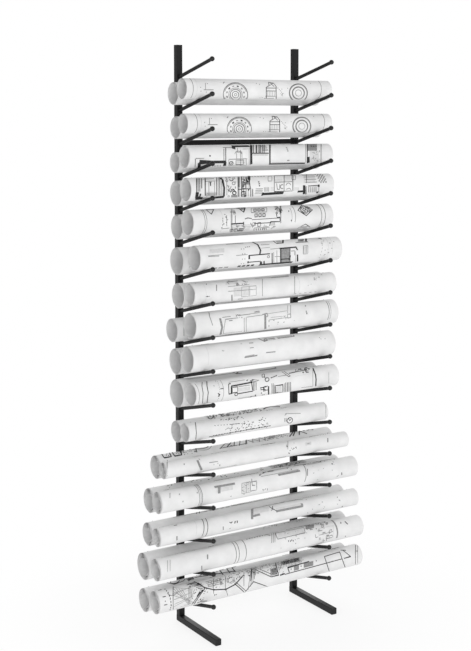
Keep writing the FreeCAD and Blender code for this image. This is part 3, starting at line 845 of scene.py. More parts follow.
def tier_5(pen, back, rng):
    """Elevations: gables, windows and a tiled diamond pattern."""
    for x in (-246, -239):
        pen.seam(x, -40, x + 2, 60)
    pen.path([(-222, 58), (-192, 57), (-215, 30)], LINE, closed=True)
    pen.dashes(-177, -24, -175, 24, 5, 6, LINE, GREY)
    pen.line(-162, -16, -160, 22, HAIR)
    pen.line(-142, -42, -140, 58, HEAVY, GREY)
    pen.path([(-140, 35), (-118, 34)], LINE)
    pen.lines(FINE, BLACK, (-128, -6, -125, 20), (-60, 2, 54, 3), (60, -16, 66, 60))
    pen.lines(
        LINE, GREY,
        (-150, 56, -90, 57), (64, 16, 70, 60), (-44, -30, 20, -31), (-176, -26, -146, -24),
    )
    pen.path([(-94, 60), (-64, 60), (-86, 32)], HEAVY, closed=True)
    pen.hatch(-88, 44, -72, 58, 4, 2, FINE)
    pen.line(-143, -9, -93, -9, BOLD)
    pen.line(-93, -15, -93, -4, HEAVY)
    window_row(pen, -138, -46, 2, 12, 16)
    pen.rungs(-106, -46, -84, -28, 4, FINE)
    pen.path([(-88, 6), (-76, 9), (-60, 6)], LINE)
    window_row(pen, -42, 33, 3)
    window_row(pen, -46, 11, 3)
    pen.line(-48, 28, 6, 27, HAIR, GREY)
    pen.path([(-65, -9), (-52, -26), (-42, -10)], HEAVY, GREY)
    pen.box(-34, -24, -22, -10, FINE)
    pen.path([(17, -24), (17, -9), (57, -10), (56, 5), (44, 5), (44, 20)], LINE)
    pen.hatch(20, -24, 38, -12, 5, 2, FINE, GREY)
    pen.line(52, 24, 60, 60, FINE, GREY)
    pen.rungs(52, 26, 66, 56, 5, HAIR)
    pen.hatch(-30, -46, 10, -34, 8, 0, FINE)
    pen.seam(121, -16, 124, 52, FINE)
    pen.seam(106, -14, 109, 40, HAIR)
    pen.seam(-176, -44, -174, 60, HAIR, LIGHT)
    pen.fill(-146, -40, -136, 56, LIGHT)
    fittings(pen, rng, -140, -100, 24, 54, 6, GREY)
    fittings(pen, rng, -136, -66, -42, -16, 10, GREY)
    fittings(pen, rng, -60, 34, -48, -14, 8, GREY)
    pen.rungs(-136, -40, -60, -16, 6, HAIR, GREY)
    pen.box(-52, 28, 12, 50, FINE, GREY)
    pen.line(-50, -12, 20, -12, LINE)
    fittings(pen, rng, 44, 66, 20, 52, 7)
    texture_band(pen, rng, -182, -158, -24, 26, 9)
    pen.marks((98, 26), (104, -8), size=5, width=LINE)
    pen.path([(172, 58), (138, 28), (168, 6), (200, 27)], LINE, closed=True)
    pen.path([(171, 50), (148, 28), (168, 14), (190, 28)], HEAVY, GREY, closed=True)
    for i in range(5):
        pen.line(150 + 8 * i, 24 + 6 * i, 162 + 8 * i, 12 + 6 * i, LINE)
        pen.line(150 + 8 * i, 32 - 4 * i, 160 + 8 * i, 44 - 4 * i, FINE)
    pen.path([(148, -52), (170, -26), (200, -46)], LINE)
    pen.hatch(158, -48, 186, -38, 6, 4, HEAVY, GREY)
    for x in (234, 250):
        pen.seam(x, -40, x + 2, 62, LINE)


def tier_6(pen, back, rng):
    """A stair and lift core in heavy outline."""
    pen.line(-239, 8, -197, 7, LINE, GREY)
    pen.fill(-230, 18, -172, 34, LIGHT)
    pen.lines(HAIR, GREY, (-240, 10, -180, 11), (-24, 24, 12, 25), (118, -42, 118, 4))
    pen.line(-150, 56, -80, 57, HEAVY, GREY)
    pen.lines(
        FINE, GREY,
        (-130, 4, -84, 5), (26, -44, 26, 6), (38, -40, 38, 12), (28, -10, 50, -10), (12, 18, 52, 19),
        (-20, 38, 16, 38),
    )
    for x in (-104, -94):
        pen.dashes(x, -30, x, 38, 4, 14, LINE, GREY)
    pen.dashes(-86, 32, -66, 34, 4, 4, HEAVY, GREY)
    pen.dashes(-210, -43, -134, -43, 16, 6, WALL, GREY)
    pen.dashes(-112, -43, -36, -43, 12, 6, 11)
    pen.path([(-40, 62), (-31, 40), (-29, 17), (-34, 2)], 5.5)
    pen.lines(
        HEAVY, BLACK,
        (-79, 1, 8, 2), (-76, -24, -26, -24), (20, -46, 20, 4), (56, -22, 92, -22), (150, 44, 170, 52),
    )
    pen.lines(6, BLACK, (-77, -12, -77, 2), (82, 40, 78, 62), (180, 40, 176, 60))
    pen.lines(5, BLACK, (-78, -28, -78, -20), (54, -46, 54, 18), (124, 8, 120, 18), (237, 58, 245, 48))
    pen.line(-20, -48, -20, -26, 8)
    pen.line(-8, -46, -8, -24, BOLD)
    pen.line(-24, -44, 114, -43, 12)
    pen.arc(2, -8, 4, width=LINE, tone=GREY)
    pen.fill(56, -44, 92, 16)
    pen.line(50, 18, 122, 19, BOLD)
    pen.dashes(93, -28, 93, 0, 8, 3, 6)
    pen.line(93, -44, 93, 18, LINE)
    pen.line(128, -40, 128, -8, 5.5)
    pen.path([(96, 6), (112, 6), (112, -10)], LINE, GREY)
    pen.path([(44, 58), (46, 40), (76, 40)], LINE)
    pen.rungs(52, 46, 72, 56, 5, FINE, GREY)
    pen.line(126, 38, 180, 38, BOLD, GREY)
    pen.fill(144, 42, 168, 58)
    pen.box(148, -8, 168, 22, HAIR, GREY)
    pen.hatch(150, -6, 168, 20, 6, 0, FINE, GREY)
    pen.dashes(222, -30, 238, 40, 6, 6, HAIR, GREY)
    texture_band(pen, rng, 236, 290, -24, 40, 12, GREY)
    pen.seam(256, -20, 264, 56, HAIR, LIGHT)
    pen.seam(274, -20, 282, 56, HAIR, LIGHT)


def tier_7(pen, back, rng):
    """A pale survey with one wall line."""
    pen.marks((-223, 42), (-232, -6), size=4, width=LINE)
    pen.line(-238, -6, -222, -6, HAIR)
    pen.lines(HEAVY, GREY, (-194, 34, -190, 10), (-180, -46, 60, -45), (-104, -30, -84, -30))
    pen.path([(-138, 32), (-140, 44), (-96, 46)], HEAVY, GREY)
    pen.lines(
        FINE, GREY,
        (-150, 5, -50, 4), (-146, 22, -60, 22), (-12, 44, -8, -26), (-20, 54, 124, 53),
        (124, 44, 128, -26),
    )
    pen.line(-133, -8, -128, -38, BOLD, GREY)
    pen.box(-96, -20, -36, 16, HAIR, GREY)
    pen.line(-66, -20, -64, 16, HAIR, GREY)
    pen.line(-96, 4, -36, 4, HAIR, GREY)
    pen.line(-110, 34, -100, 34, FINE)
    pen.line(44, 48, 118, 47, LINE, GREY)
    pen.path([(92, 56), (122, 56), (122, 50)], LINE, GREY)
    pen.marks((214, 20), (216, 26), (238, 28), (232, 50), size=5, width=FINE)
    pen.dashes(130, -30, 240, -30, 10, 12, HAIR)
    pen.fill(-128, -16, -60, 16, LIGHT)
    pen.fill(-150, 30, -104, 42, LIGHT)
    fittings(pen, rng, -140, -66, 20, 44, 9, GREY)
    texture_band(pen, rng, 180, 260, -10, 44, 5, GREY)
    pen.seam(146, -26, 150, 50, HAIR, LIGHT)
    pen.seam(-236, -30, -236, 46, HAIR, LIGHT)


def tier_8(pen, back, rng):
    """Large pale rooms and a broad grey band along the bottom edge of the roll."""
    pen.path([(-212, 56), (-220, 36), (-219, 14), (-216, 2)], LINE, GREY)
    pen.path([(-183, 24), (-178, -8), (-174, -42)], WALL, GREY)
    pen.line(-174, 26, -140, 27, HAIR)
    pen.path([(-166, -36), (-163, 18), (-112, 19)], FINE, GREY)
    pen.line(-150, 12, -136, 12, HEAVY, GREY)
    pen.line(-112, 27, -60, 28, LINE, GREY)
    pen.lines(
        FINE, GREY,
        (-92, 17, -86, -42), (-84, 17, -78, -42), (-80, 28, -20, 30), (104, 50, 112, 2), (14, 0, 88, 2),
    )
    pen.lines(HAIR, GREY, (-168, -36, -90, -36), (20, 8, 84, 8), (96, 50, 101, 16), (2, 22, 92, 26))
    pen.path([(-12, 22), (2, 22)], HEAVY, GREY)
    pen.line(-8, 20, 2, -38, WALL, GREY)
    pen.dashes(8, 20, 18, -38, 8, 12, LINE, GREY)
    pen.line(-40, 34, -18, 36, HEAVY, GREY)
    pen.box(90, 0, 104, 13, FINE, GREY)
    pen.marks((178, 39), (172, 16), size=7, width=HEAVY, tone=GREY)
    pen.line(174, 12, 173, 6, HEAVY)
    pen.marks((51, -12), (76, -14), size=3, width=BOLD, tone=GREY)
    pen.seam(268, -24, 276, 52, LINE)
    pen.seam(276, -24, 284, 52, HAIR)
    pen.path([(-78, 18), (-12, 20)], FINE, GREY)
    pen.box(-4, 12, 8, 24, FINE, GREY)
    texture_band(pen, rng, 30, 120, -24, 6, 6, GREY)
    texture_band(pen, rng, -120, -90, 16, 34, 6)
    # A broad grey band along the bottom edge of the roll, as the eye sees it.
    pen.line(-150, -54, 110, -52, 5.5, GREY)
    pen.line(-166, -50, 120, -48, HAIR)


def tier_9(pen, back, rng):
    """A nearly blank site sheet."""
    pen.marks((-181, 25), (-176, 24), size=3, width=LINE, tone=GREY)
    pen.lines(
        FINE, GREY,
        (-100, 44, -94, 44), (-94, -4, -56, -2), (20, 52, 48, 54), (-160, -56, 70, -54),
    )
    pen.line(-96, -8, -44, -6, BOLD, GREY)
    pen.line(-66, 43, -49, 42, HEAVY, GREY)
    pen.line(-71, 23, -55, 23, LINE, GREY)
    pen.path([(-14, 66), (-4, 44), (12, 46)], BOLD, GREY)
    pen.arc(6, 50, 5, width=LINE, tone=GREY)
    pen.path([(57, 50), (128, 51), (130, 60)], BOLD, GREY)
    pen.line(57, 56, 124, 57, HAIR, GREY)
    pen.line(-8, 0, 31, -1, HEAVY, GREY)
    pen.marks((227, 31), (231, 25), (249, 24), size=3, width=LINE, tone=GREY)
    pen.seam(-240, -20, -236, 50, HAIR, LIGHT)
    pen.rungs(2, 46, 46, 58, 5, HAIR, GREY)
    pen.fill(58, 57, 124, 62, LIGHT)


def tier_10(pen, back, rng):
    """A furnished flat with a stair."""
    pen.path([(-243, 56), (-256, 34), (-259, 8), (-254, -34)], FINE)
    pen.path([(-225, 56), (-237, 32), (-239, 8), (-235, -36)], LINE)
    pen.dashes(-190, 46, -197, -30, 3, 5, FINE, GREY)
    pen.marks((-194, 49), (-211, 28), size=4, width=LINE, tone=GREY)
    pen.path([(-201, 0), (-194, -6), (-200, -12)], HEAVY)
    pen.path([(-146, 27), (-153, 27), (-157, -8), (-144, -8)], LINE)
    pen.path([(-58, 22), (-145, 18), (-147, -8)], BOLD)
    pen.path([(-120, -12), (-60, -10), (-62, 20)], HEAVY)
    pen.line(-56, 22, -56, -10, BOLD, GREY)
    pen.lines(
        HEAVY, GREY,
        (-46, 20, -48, -8), (-110, -38, -44, -36), (20, 28, 50, 35), (-70, -46, -30, -44),
    )
    pen.line(-40, -28, -42, -40, HEAVY)
    pen.box(-144, -6, -122, 13, FINE)
    pen.lines(HAIR, BLACK, (-118, 13, -70, 13), (52, 30, 90, 31), (150, -26, 200, -28))
    pen.arc(-127, -13, 5, width=LINE)
    pen.node_dots((-77, 31), (-147, 28), size=4)
    pen.path([(-66, 26), (-48, 30), (-30, 26), (-48, 22)], FINE, closed=True)
    pen.line(-150, 34, -84, 35, FINE, GREY)
    pen.box(-8, 36, 2, 52, FINE)
    pen.arc(3, 24, 7, width=LINE)
    pen.lines(
        LINE, BLACK,
        (-3, 36, -1, 30), (138, 40, 176, 42), (-30, -2, -4, -1), (-190, 14, -178, 14),
    )
    pen.marks((24, 29), (36, 32), (46, 35), size=4, width=LINE)
    pen.path([(80, 52), (94, 24), (102, 26), (90, 54)], FINE)
    pen.line(101, 37, 138, 40, HEAVY)
    texture_band(pen, rng, 130, 182, 38, 52, 16)
    pen.node_dots((-16, -2), size=5)
    pen.line(4, 0, 12, -42, BOLD)
    door_swing(pen, 2, 1, 15, 180)
    pen.lines(LINE, GREY, (16, 8, 26, -44), (22, 8, 32, -44), (-150, -50, -66, -47))
    pen.box(36, -38, 68, -2, LINE)
    for x, width in ((27, HEAVY), (32, LINE), (74, LINE)):
        pen.line(x, -42, x, 2, width, GREY)
    pen.path([(40, -40), (50, -34), (58, -40)], HEAVY)
    for x, width in ((80, LINE), (87, HEAVY), (94, HEAVY), (101, LINE)):
        pen.line(x, 4, x, -44, width, GREY)
        pen.line(x, 4, x, -44, HAIR)
    pen.line(120, 22, 190, 24, HAIR, LIGHT)
    pen.node_dots((-146, -50), (-58, -44), (-56, -38), size=5)
    fittings(pen, rng, -30, 4, -44, -8, 8)
    fittings(pen, rng, 150, 196, 30, 52, 9)
    texture_band(pen, rng, -74, -48, 24, 34, 8)
    pen.fill(36, -32, 62, -6, LIGHT)
    pen.fill(-120, -4, -72, 8, LIGHT)
    pen.seam(-272, -36, -276, 50, HAIR)
    pen.seam(-180, -36, -176, 50, HAIR)
    pen.path([(212, 47), (208, 17), (208, 0), (214, -30)], BOLD)
    pen.line(192, 50, 198, -26, FINE, GREY)
    pen.line(262, -24, 266, 20, HAIR, GREY)
    pen.line(-60, -36, -40, -36, FINE)
    back.path([(40, 58), (110, 59), (112, 68)], BOLD, GREY)
    back.path([(-64, 72), (-58, 58), (-36, 56)], BOLD, GREY)
    back.line(-58, 60, -46, 66, HEAVY)
    back.line(-250, 64, -60, 64, FINE, GREY)


def tier_11(pen, back, rng):
    """A garden sheet: dotted levels on the front roll, dense planting on the back one."""
    pen.path([(-253, 46), (-262, 24), (-265, 2), (-261, -28)], LINE, GREY)
    pen.path([(-253, 46), (-262, 24), (-265, 2), (-261, -28)], HAIR)
    pen.dashes(-190, 17, -60, 8, 3, 9, LINE)
    pen.dashes(-196, -20, 42, -17, 5, 6, HEAVY)
    pen.lines(
        FINE, GREY,
        (-210, -24, -150, -24), (100, 14, 112, 20), (104, 20, 168, 12), (284, 46, 277, -20),
    )
    pen.path([(-150, -4), (-138, 2), (-128, -4), (-120, 1)], FINE, GREY)
    pen.line(-130, 12, -90, 11, HAIR)
    pen.dashes(-110, -8, 26, -6, 4, 12, FINE)
    pen.arc(120, -7, 10, width=LINE)
    pen.path([(114, 0), (120, -8), (126, -3)], LINE)
    pen.line(98, -10, 98, 4, LINE, GREY)
    pen.line(104, -10, 104, 4, FINE)
    pen.marks((8, 19), (10, 8), (26, -24), size=3)
    texture_band(back, rng, -170, 60, 38, 68, 80)
    texture_band(back, rng, -170, 60, 38, 74, 90, GREY)
    fittings(back, rng, -160, 40, 38, 60, 24, GREY)
    texture_band(pen, rng, -160, -60, 26, 40, 26)
    texture_band(pen, rng, -130, 30, -18, 14, 44)
    pen.node_dots((-126, -20), (-104, -19), (-84, -19), (-60, -18), (-34, -18), (-8, -17), (16, -17), size=6)
    pen.line(-210, -22, 36, -17, FINE)
    pen.line(-200, -30, -120, -28, HAIR)
    back.line(-110, 66, -96, 42, LINE)
    back.arc(-150, 52, 9, width=LINE)
    back.path([(66, 46), (84, 55), (104, 57), (138, 46)], BOLD)
    back.line(130, 60, 250, 60, FINE, GREY)


def tier_12(pen, back, rng):
    """A long site plan: sight lines fan out over hatched ground on the back roll."""
    pen.line(-256, 24, -243, -15, WALL, GREY)
    pen.line(-248, 30, -246, 24, HAIR)
    pen.lines(LINE, GREY, (-372, 42, -382, -14), (-214, 8, -180, 7), (198, 14, 208, 13))
    pen.marks((-310, 18), (-172, -8), size=6, width=HEAVY, tone=GREY)
    pen.marks((-196, -2), (-180, 0), size=3, width=LINE, tone=GREY)
    pen.line(-236, -22, -100, -22, FINE, GREY)
    pen.line(120, 44, 116, 6, FINE, GREY)
    pen.fill(190, 8, 216, 20, LIGHT)
    texture_band(pen, rng, 104, 150, -20, 30, 10)
    pen.line(60, -26, 110, -26, HEAVY, GREY)
    pen.line(291, 22, 289, 6, BOLD, GREY)
    pen.marks((112, 22), (116, -8), size=3)
    for x in (-341, -300):
        back.path([(x, 70), (x - 6, 40), (x + 22, 40), (x + 30, 70)], HEAVY)
        back.marks((x + 8, 52), (x + 14, 60), (x + 14, 47), size=4)
    back.path([(-264, 72), (-280, 38)], HEAVY)
    back.arc(-180, 82, 26, 195, 345, HEAVY)
    back.arc(-180, 82, 38, 200, 340, FINE, GREY)
    back.lines(LINE, BLACK, (-206, 70, -218, 40), (-22, 74, -45, 38), (-4, 74, -10, 38))
    back.path([(-126, 38), (-84, 72), (-70, 40)], LINE)
    back.fill(-104, 40, -60, 66, LIGHT)
    back.path([(-60, 72), (-96, 40)], HEAVY)
    back.path([(-46, 72), (-66, 40)], LINE)
    texture_band(back, rng, -280, -214, 38, 70, 26)
    texture_band(back, rng, 20, 150, 38, 70, 50, GREY)
    back.fill(20, 38, 88, 68, LIGHT)
    back.line(-120, 40, -10, 42, FINE)
    for x in (4, 30, 58, 82):
        back.path([(x - 16, 40), (x, 72), (x + 12, 42)], FINE)
    texture_band(back, rng, 84, 176, 44, 74, 40, GREY)
    back.fill(92, 48, 120, 70)
    for x0, x1 in ((208, 172), (216, 188), (228, 226), (236, 250)):
        back.line(x0, 76, x1, 40, HEAVY)
    texture_band(back, rng, 250, 290, 52, 74, 14)


def tier_13(pen, back, rng):
    """A street elevation in pale line."""
    for x, width in ((-265, FINE), (-259, HAIR), (-254, LINE)):
        pen.seam(x, 62, x + 1, -36, width)
    pen.line(-200, 29, -118, 28, WALL, GREY)
    pen.line(-185, 26, -186, 4, 10, GREY)
    pen.marks((-338, 27), (-271, 21), (-330, 0), size=5, width=HEAVY, tone=GREY)
    pen.path([(-376, 66), (-370, 70), (-360, 66)], LINE)
    pen.line(-374, 20, -373, 40, HAIR)
    pen.fills(LIGHT, (-96, -14, -62, 24), (66, 32, 156, 40), (-196, 8, -130, 24))
    pen.box(-96, -14, -60, 24, HAIR, GREY)
    pen.line(-78, -14, -76, 24, HAIR, GREY)
    texture_band(pen, rng, -94, -64, -10, 22, 14, GREY)
    pen.node_dots((-84, -18), (-138, -16), size=3)
    pen.path([(-46, 34), (-52, 10), (-40, 8)], LINE, GREY)
    pen.path([(-8, -12), (-2, -20), (6, -12)], HEAVY, GREY)
    pen.line(12, -12, 14, -22, LINE, GREY)
    pen.line(36, 60, 130, 62, LINE, GREY)
    pen.marks((36, 56), (44, 56), (118, 56), size=5)
    pen.line(-6, 36, 154, 36, FINE, GREY)
    pen.line(64, 29, 158, 30, WALL, GREY)
    pen.node_dots((128, 44), size=4)
    pen.seam(190, 60, 172, -16, LINE)
    pen.line(184, 32, 188, 6, HEAVY, GREY)
    pen.line(196, 66, 202, 58, HEAVY)
    pen.line(268, 66, 270, 58, HEAVY)
    pen.line(206, 56, 268, 54, FINE, GREY)
    pen.node_dots((303, 33), size=5)
    back.rungs(96, 50, 250, 74, 8, LINE, GREY)
    fittings(back, rng, 40, 250, 46, 70, 20, GREY)
    fittings(back, rng, 60, 250, 50, 74, 10)
    fittings(pen, rng, -6, 60, 40, 60, 9)
    texture_band(pen, rng, 196, 330, -24, 56, 12, GREY)
    texture_band(back, rng, -330, -40, 46, 70, 26)
    pen.box(-60, -10, -34, 22, HAIR)
    pen.path([(318, -22), (324, -16)], HEAVY, GREY)
    pen.path([(336, -6), (340, -18)], BOLD, GREY)


def tier_14(pen, back, rng):
    """Retaining walls in grey."""
    pen.seam(-229, 54, -245, -20, FINE, BLACK)
    pen.seam(-215, 54, -230, -24, FINE, BLACK)
    pen.seam(-260, 54, -272, -20, HAIR, LIGHT)
    pen.fill(62, 18, 172, 28, LIGHT)
    pen.fill(-28, 22, 40, 50, LIGHT)
    texture_band(pen, rng, 190, 340, -22, 48, 8, GREY)
    back.rungs(-60, 60, 250, 76, 8, FINE, GREY)
    pen.line(-342, 46, -330, 46, BOLD, GREY)
    pen.line(-346, 2, -345, -14, BOLD, GREY)
    pen.line(-163, -12, -162, 2, HEAVY, GREY)
    pen.path([(-136, 12), (-130, 8), (-124, 12)], LINE)
    pen.line(-116, 4, -112, 12, HEAVY)
    pen.line(-106, 4, -104, 12, HEAVY)
    pen.marks((-134, -12), size=3)
    pen.line(-30, 52, -42, 6, 9, GREY)
    pen.line(-42, 16, -8, 17, WALL, GREY)
    pen.path([(60, 16), (176, 15), (174, 26)], WALL, GREY)
    pen.path([(44, 44), (50, 28), (62, 18)], LINE)
    pen.path([(58, 42), (50, 28), (42, 22)], FINE)
    pen.line(-20, 55, 178, 54, LINE, GREY)
    pen.line(176, 56, 190, 44, HAIR, GREY)
    pen.marks((333, 21), size=4, width=HEAVY, tone=GREY)
    pen.line(336, 10, 342, 6, HEAVY, GREY)
    pen.node_dots((356, -22), size=5)
    for x in (-207, -196):
        back.line(x, 56, x + 8, 84, LINE)
    back.line(-300, 66, -10, 66, FINE, GREY)
    back.dashes(-180, 60, 40, 60, 14, 9, LINE, GREY)


def tier_15(pen, back, rng):
    """Long sections under one heavy ground line."""
    for x, width in ((-119, LINE), (-107, LINE), (-78, LINE)):
        pen.seam(x, 62, x - 8, -36, width)
    pen.lines(HAIR, GREY, (-390, 40, -396, 0), (-380, 40, -386, 0), (-300, -44, 60, -40))
    pen.line(-238, 12, -236, 28, BOLD, GREY)
    pen.line(-262, -30, -260, -6, HEAVY, GREY)
    pen.path([(28, 68), (36, 50)], BOLD, GREY)
    for x in (40, 47, 54):
        pen.line(x, 64, x - 8, 18, FINE, GREY)
    pen.path([(62, 58), (184, 54), (174, 28), (54, 27)], LINE, GREY, closed=True)
    pen.marks((96, 12), (104, 10), (110, 12), (116, 9), size=5)
    pen.line(192, 62, 196, 40, WALL, GREY)
    pen.fill(196, 40, 226, 60)
    pen.box(228, -26, 294, 32, FINE, LIGHT)
    pen.line(230, 8, 292, 10, FINE, GREY)
    pen.line(262, -24, 266, -6, LINE, GREY)
    pen.seam(313, 62, 311, -20, 6)
    pen.marks((338, 36), size=7, width=BOLD, tone=GREY)
    pen.path([(358, 38), (364, 24)], HEAVY)
    pen.node_dots((352, -22), size=4)
    pen.dashes(-60, 60, 30, 62, 6, 5, LINE)
    fittings(pen, rng, 188, 300, 24, 60, 18, GREY)
    fittings(pen, rng, 200, 300, -24, 24, 12, GREY)
    texture_band(pen, rng, 60, 186, -10, 50, 14, GREY)
    pen.fill(64, 32, 178, 52, LIGHT)
    texture_band(back, rng, 60, 330, 60, 78, 50, GREY)
    pen.line(120, -30, 260, -30, FINE, GREY)


def tier_16(pen, back, rng):
    """A large survey: station lines, a curved boundary and a strip of plots."""
    for s in (64, 28, 0):
        pen.line(-404, s, -392, s, LINE)
    pen.dashes(-380, 64, -376, -40, 7, 4, LINE)
    pen.lines(FINE, BLACK, (-370, 66, -367, -42), (-12, 62, 30, 18), (392, 56, 414, -42))
    pen.node_dots((-376, 28), (-376, -8), (-398, 12), size=3)
    for x0, s0, x1, s1 in (
        (-366, 26, -300, -10),
        (-366, 10, -296, 20),
        (-364, -6, -290, 8),
        (-366, -16, -304, 2),
        (-350, 60, -296, 34),
        (-360, 40, -280, -26),
        (-366, 30, -270, 42),
        (-352, -30, -292, -18),
    ):
        pen.line(x0, s0, x1, s1, HAIR, GREY)
    for i in range(9):
        pen.line(-366, 24 - 5 * i, -282, 44 - 10 * i, HAIR, LIGHT)
        pen.line(-352 + 9 * i, 52 - 3 * i, -300, -30 + 4 * i, HAIR, GREY)
    pen.arc(-358, 44, 18, 200, 330, FINE, GREY)
    for i in range(7):
        pen.line(-292 + 5 * i, 58 - 6 * i, -264 + 3 * i, 60 - 7 * i, FINE)
    pen.path([(-298, 54), (-262, 60), (-240, 24), (-282, -38)], LINE)
    pen.lines(
        LINE, BLACK,
        (-250, 20, -292, -34), (-30, 60, -58, 10), (86, 5, 342, 11), (271, 35, 296, -40),
        (343, 40, 369, -42), (352, 46, 372, 40),
    )
    pen.line(-262, 16, -276, 2, BOLD)
    pen.path([(-262, 70), (-252, 44), (-243, 27), (-208, 11), (-160, 3), (-121, 12), (-84, 34)], HEAVY)
    pen.node_dots((-243, 27), (-208, 11), (-160, 3), (-262, -12), size=5)
    pen.line(-230, -30, -262, -20, HEAVY)
    pen.path([(-124, 16), (-73, -40), (-46, 6), (22, -36)], 2.8)
    pen.path([(-118, 20), (-72, -28), (-52, 2)], FINE)
    for i in range(5):
        pen.line(-66 + 8 * i, -22 + 12 * i, -34 + 5 * i, 58, HAIR)
    fittings(pen, rng, -220, -100, 16, 44, 10, GREY)
    texture_band(pen, rng, -230, -100, 14, 56, 50, GREY)
    texture_band(pen, rng, -60, 90, 36, 68, 30)
    texture_band(pen, rng, -60, 90, 30, 72, 60, GREY)
    pen.fill(-60, 44, 84, 66, LIGHT)
    pen.hatch(60, 30, 176, 62, 7, 2, HAIR, GREY)
    texture_band(pen, rng, 40, 180, 24, 64, 50, GREY)
    texture_band(pen, rng, -300, -230, -30, 56, 26)
    pen.path([(-24, 60), (-20, 46), (28, 8)], 2.8)
    for x in (-208, -160, -84):
        pen.line(x, 50, x + 3, -2, HAIR)
    pen.rungs(-228, 26, -168, 52, 7, FINE, GREY)
    pen.dashes(-200, 38, -120, 40, 3, 5, LINE)
    pen.line(-160, 4, -148, -28, HAIR)
    pen.marks((-206, -8), (-200, -8), (-96, 46), (-110, 30), size=5)
    texture_band(pen, rng, -110, -30, 28, 60, 24)
    pen.path([(74, 66), (60, 8), (28, 8)], LINE)
    pen.hatch(30, 12, 56, 36, 5, 3, LINE)
    texture_band(pen, rng, 28, 84, 10, 64, 40, GREY)
    pen.line(66, 6, 86, 8, BOLD)
    pen.hatch(92, 42, 168, 62, 6, 2, LINE)
    pen.rungs(92, 42, 168, 62, 6, FINE)
    pen.path([(106, 8), (104, 26), (200, 30)], HEAVY)
    pen.fill(128, 10, 150, 26)
    pen.fill(172, 12, 214, 28)
    pen.marks((116, 18), (160, 20), (230, 26), size=4)
    pen.path([(271, 35), (343, 39)], LINE)
    pen.path([(360, 44), (382, 12), (352, 11)], LINE)
    pen.line(402, 54, 424, -42, FINE, GREY)
    pen.marks((416, 26), size=5, width=HEAVY, tone=GREY)
    pen.node_dots((352, 11), (296, 11), size=3)
    for x in (-113, -84, -62):
        back.path([(x, 40), (x + 4, 72), (x + 22, 74)], HEAVY)
    back.path([(-306, 76), (-316, 58), (-308, 48), (-268, 54), (-250, 70)], FINE)
    back.path([(-250, 48), (-226, 64), (-246, 72)], HEAVY, GREY, closed=True)
    back.hatch(-248, 50, -226, 68, 4, 6, LINE)
    back.line(-220, 60, -60, 44, LINE)
    back.arc(-300, 78, 26, 200, 330, LINE)
    texture_band(back, rng, -210, -120, 50, 72, 20)


TIER_DRAWINGS = (
    tier_1, tier_2, tier_3, tier_4, tier_5, tier_6, tier_7, tier_8,
    tier_9, tier_10, tier_11, tier_12, tier_13, tier_14, tier_15, tier_16,
)

FIRST_LONG_TIER = 12
# A short roll has few turns that lie close, and a long one has more, further apart: the turns, the
# spacing between them, and how much further in the last turn curls.
SHORT_WINDING = {"turns": 3.3, "pitch": 1.5, "curl": 3.0}
LONG_WINDING = {"turns": 5.2, "pitch": 3.0, "curl": 5.0}
# The sides of a roll that get everyday plan work, in degrees from its front.
REAR_FROM, BACK_ROLL_REAR_FROM, REAR_TO = 100, 115, 238
BACK_ROLL_TOP = (-24, 40)
REAR_MARGIN, TOP_MARGIN = 28, 24
SHORT_ROOMS, LONG_ROOMS = 18, 26

for tier in range(1, TIERS + 1):
    rng = random.Random(1000 + tier)
    long_sheets = tier >= FIRST_LONG_TIER
    pens = {}
    for place in ("front", "back"):
        winding = LONG_WINDING if long_sheets else SHORT_WINDING
        roll = Roll(f"{place}_roll_{tier:02d}", seed=tier * 2 + (place == "front"), **winding)
        roll.sheet()
        pens[place] = Pen(roll)
    TIER_DRAWINGS[tier - 1](pens["front"], pens["back"], rng)
    rooms = LONG_ROOMS if long_sheets else SHORT_ROOMS
    for place, start in (("front", REAR_FROM), ("back", BACK_ROLL_REAR_FROM)):
        pen = pens[place]
        left, right = pen.roll.left, pen.roll.right
        degree = math.radians(1) * pen.roll.radius
        drafting(pen, rng, left + REAR_MARGIN, right - REAR_MARGIN, start * degree, REAR_TO * degree, rooms)
        if place == "back":
            low, high = (side * degree for side in BACK_ROLL_TOP)
            drafting(pen, rng, left + TOP_MARGIN, right - TOP_MARGIN, low, high, rooms // 2)
        pen.finish()


# ---------------------------------------------------------------- weld beads at the arm roots

BEAD_RADIUS, BEAD_RIPPLE, RIPPLES = 1.5, 0.16, 16
BEAD_STEPS, BEAD_SIDES = 64, 10
BEAD_STANDOFF, BEAD_SINK = 0.3, 0.1  # its core's distance outside the rod, and into the upright's face


def arm_axes(node):
    """(root centre, tip centre) of each rod in a node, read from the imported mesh."""
    mesh = frame["nodes"][node].data
    parent = list(range(len(mesh.vertices)))

    def top(i):
        while parent[i] != i:
            parent[i] = parent[parent[i]]
            i = parent[i]
        return i

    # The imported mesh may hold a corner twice, so corners at one place count as one.
    seen = {}
    for vertex in mesh.vertices:
        key = tuple(round(c, 6) for c in vertex.co)
        parent[top(vertex.index)] = top(seen.setdefault(key, vertex.index))
    for edge in mesh.edges:
        parent[top(edge.vertices[0])] = top(edge.vertices[1])
    rods = {}
    for vertex in mesh.vertices:
        rods.setdefault(top(vertex.index), []).append([c / MM for c in vertex.co])
    axes = []
    for corners in rods.values():
        middle = (min(c[1] for c in corners) + max(c[1] for c in corners)) / 2
        ends = [[c for c in corners if (c[1] > middle) == rear] for rear in (True, False)]
        axes.append([[(min(v) + max(v)) / 2 for v in zip(*end)] for end in ends])
    return axes


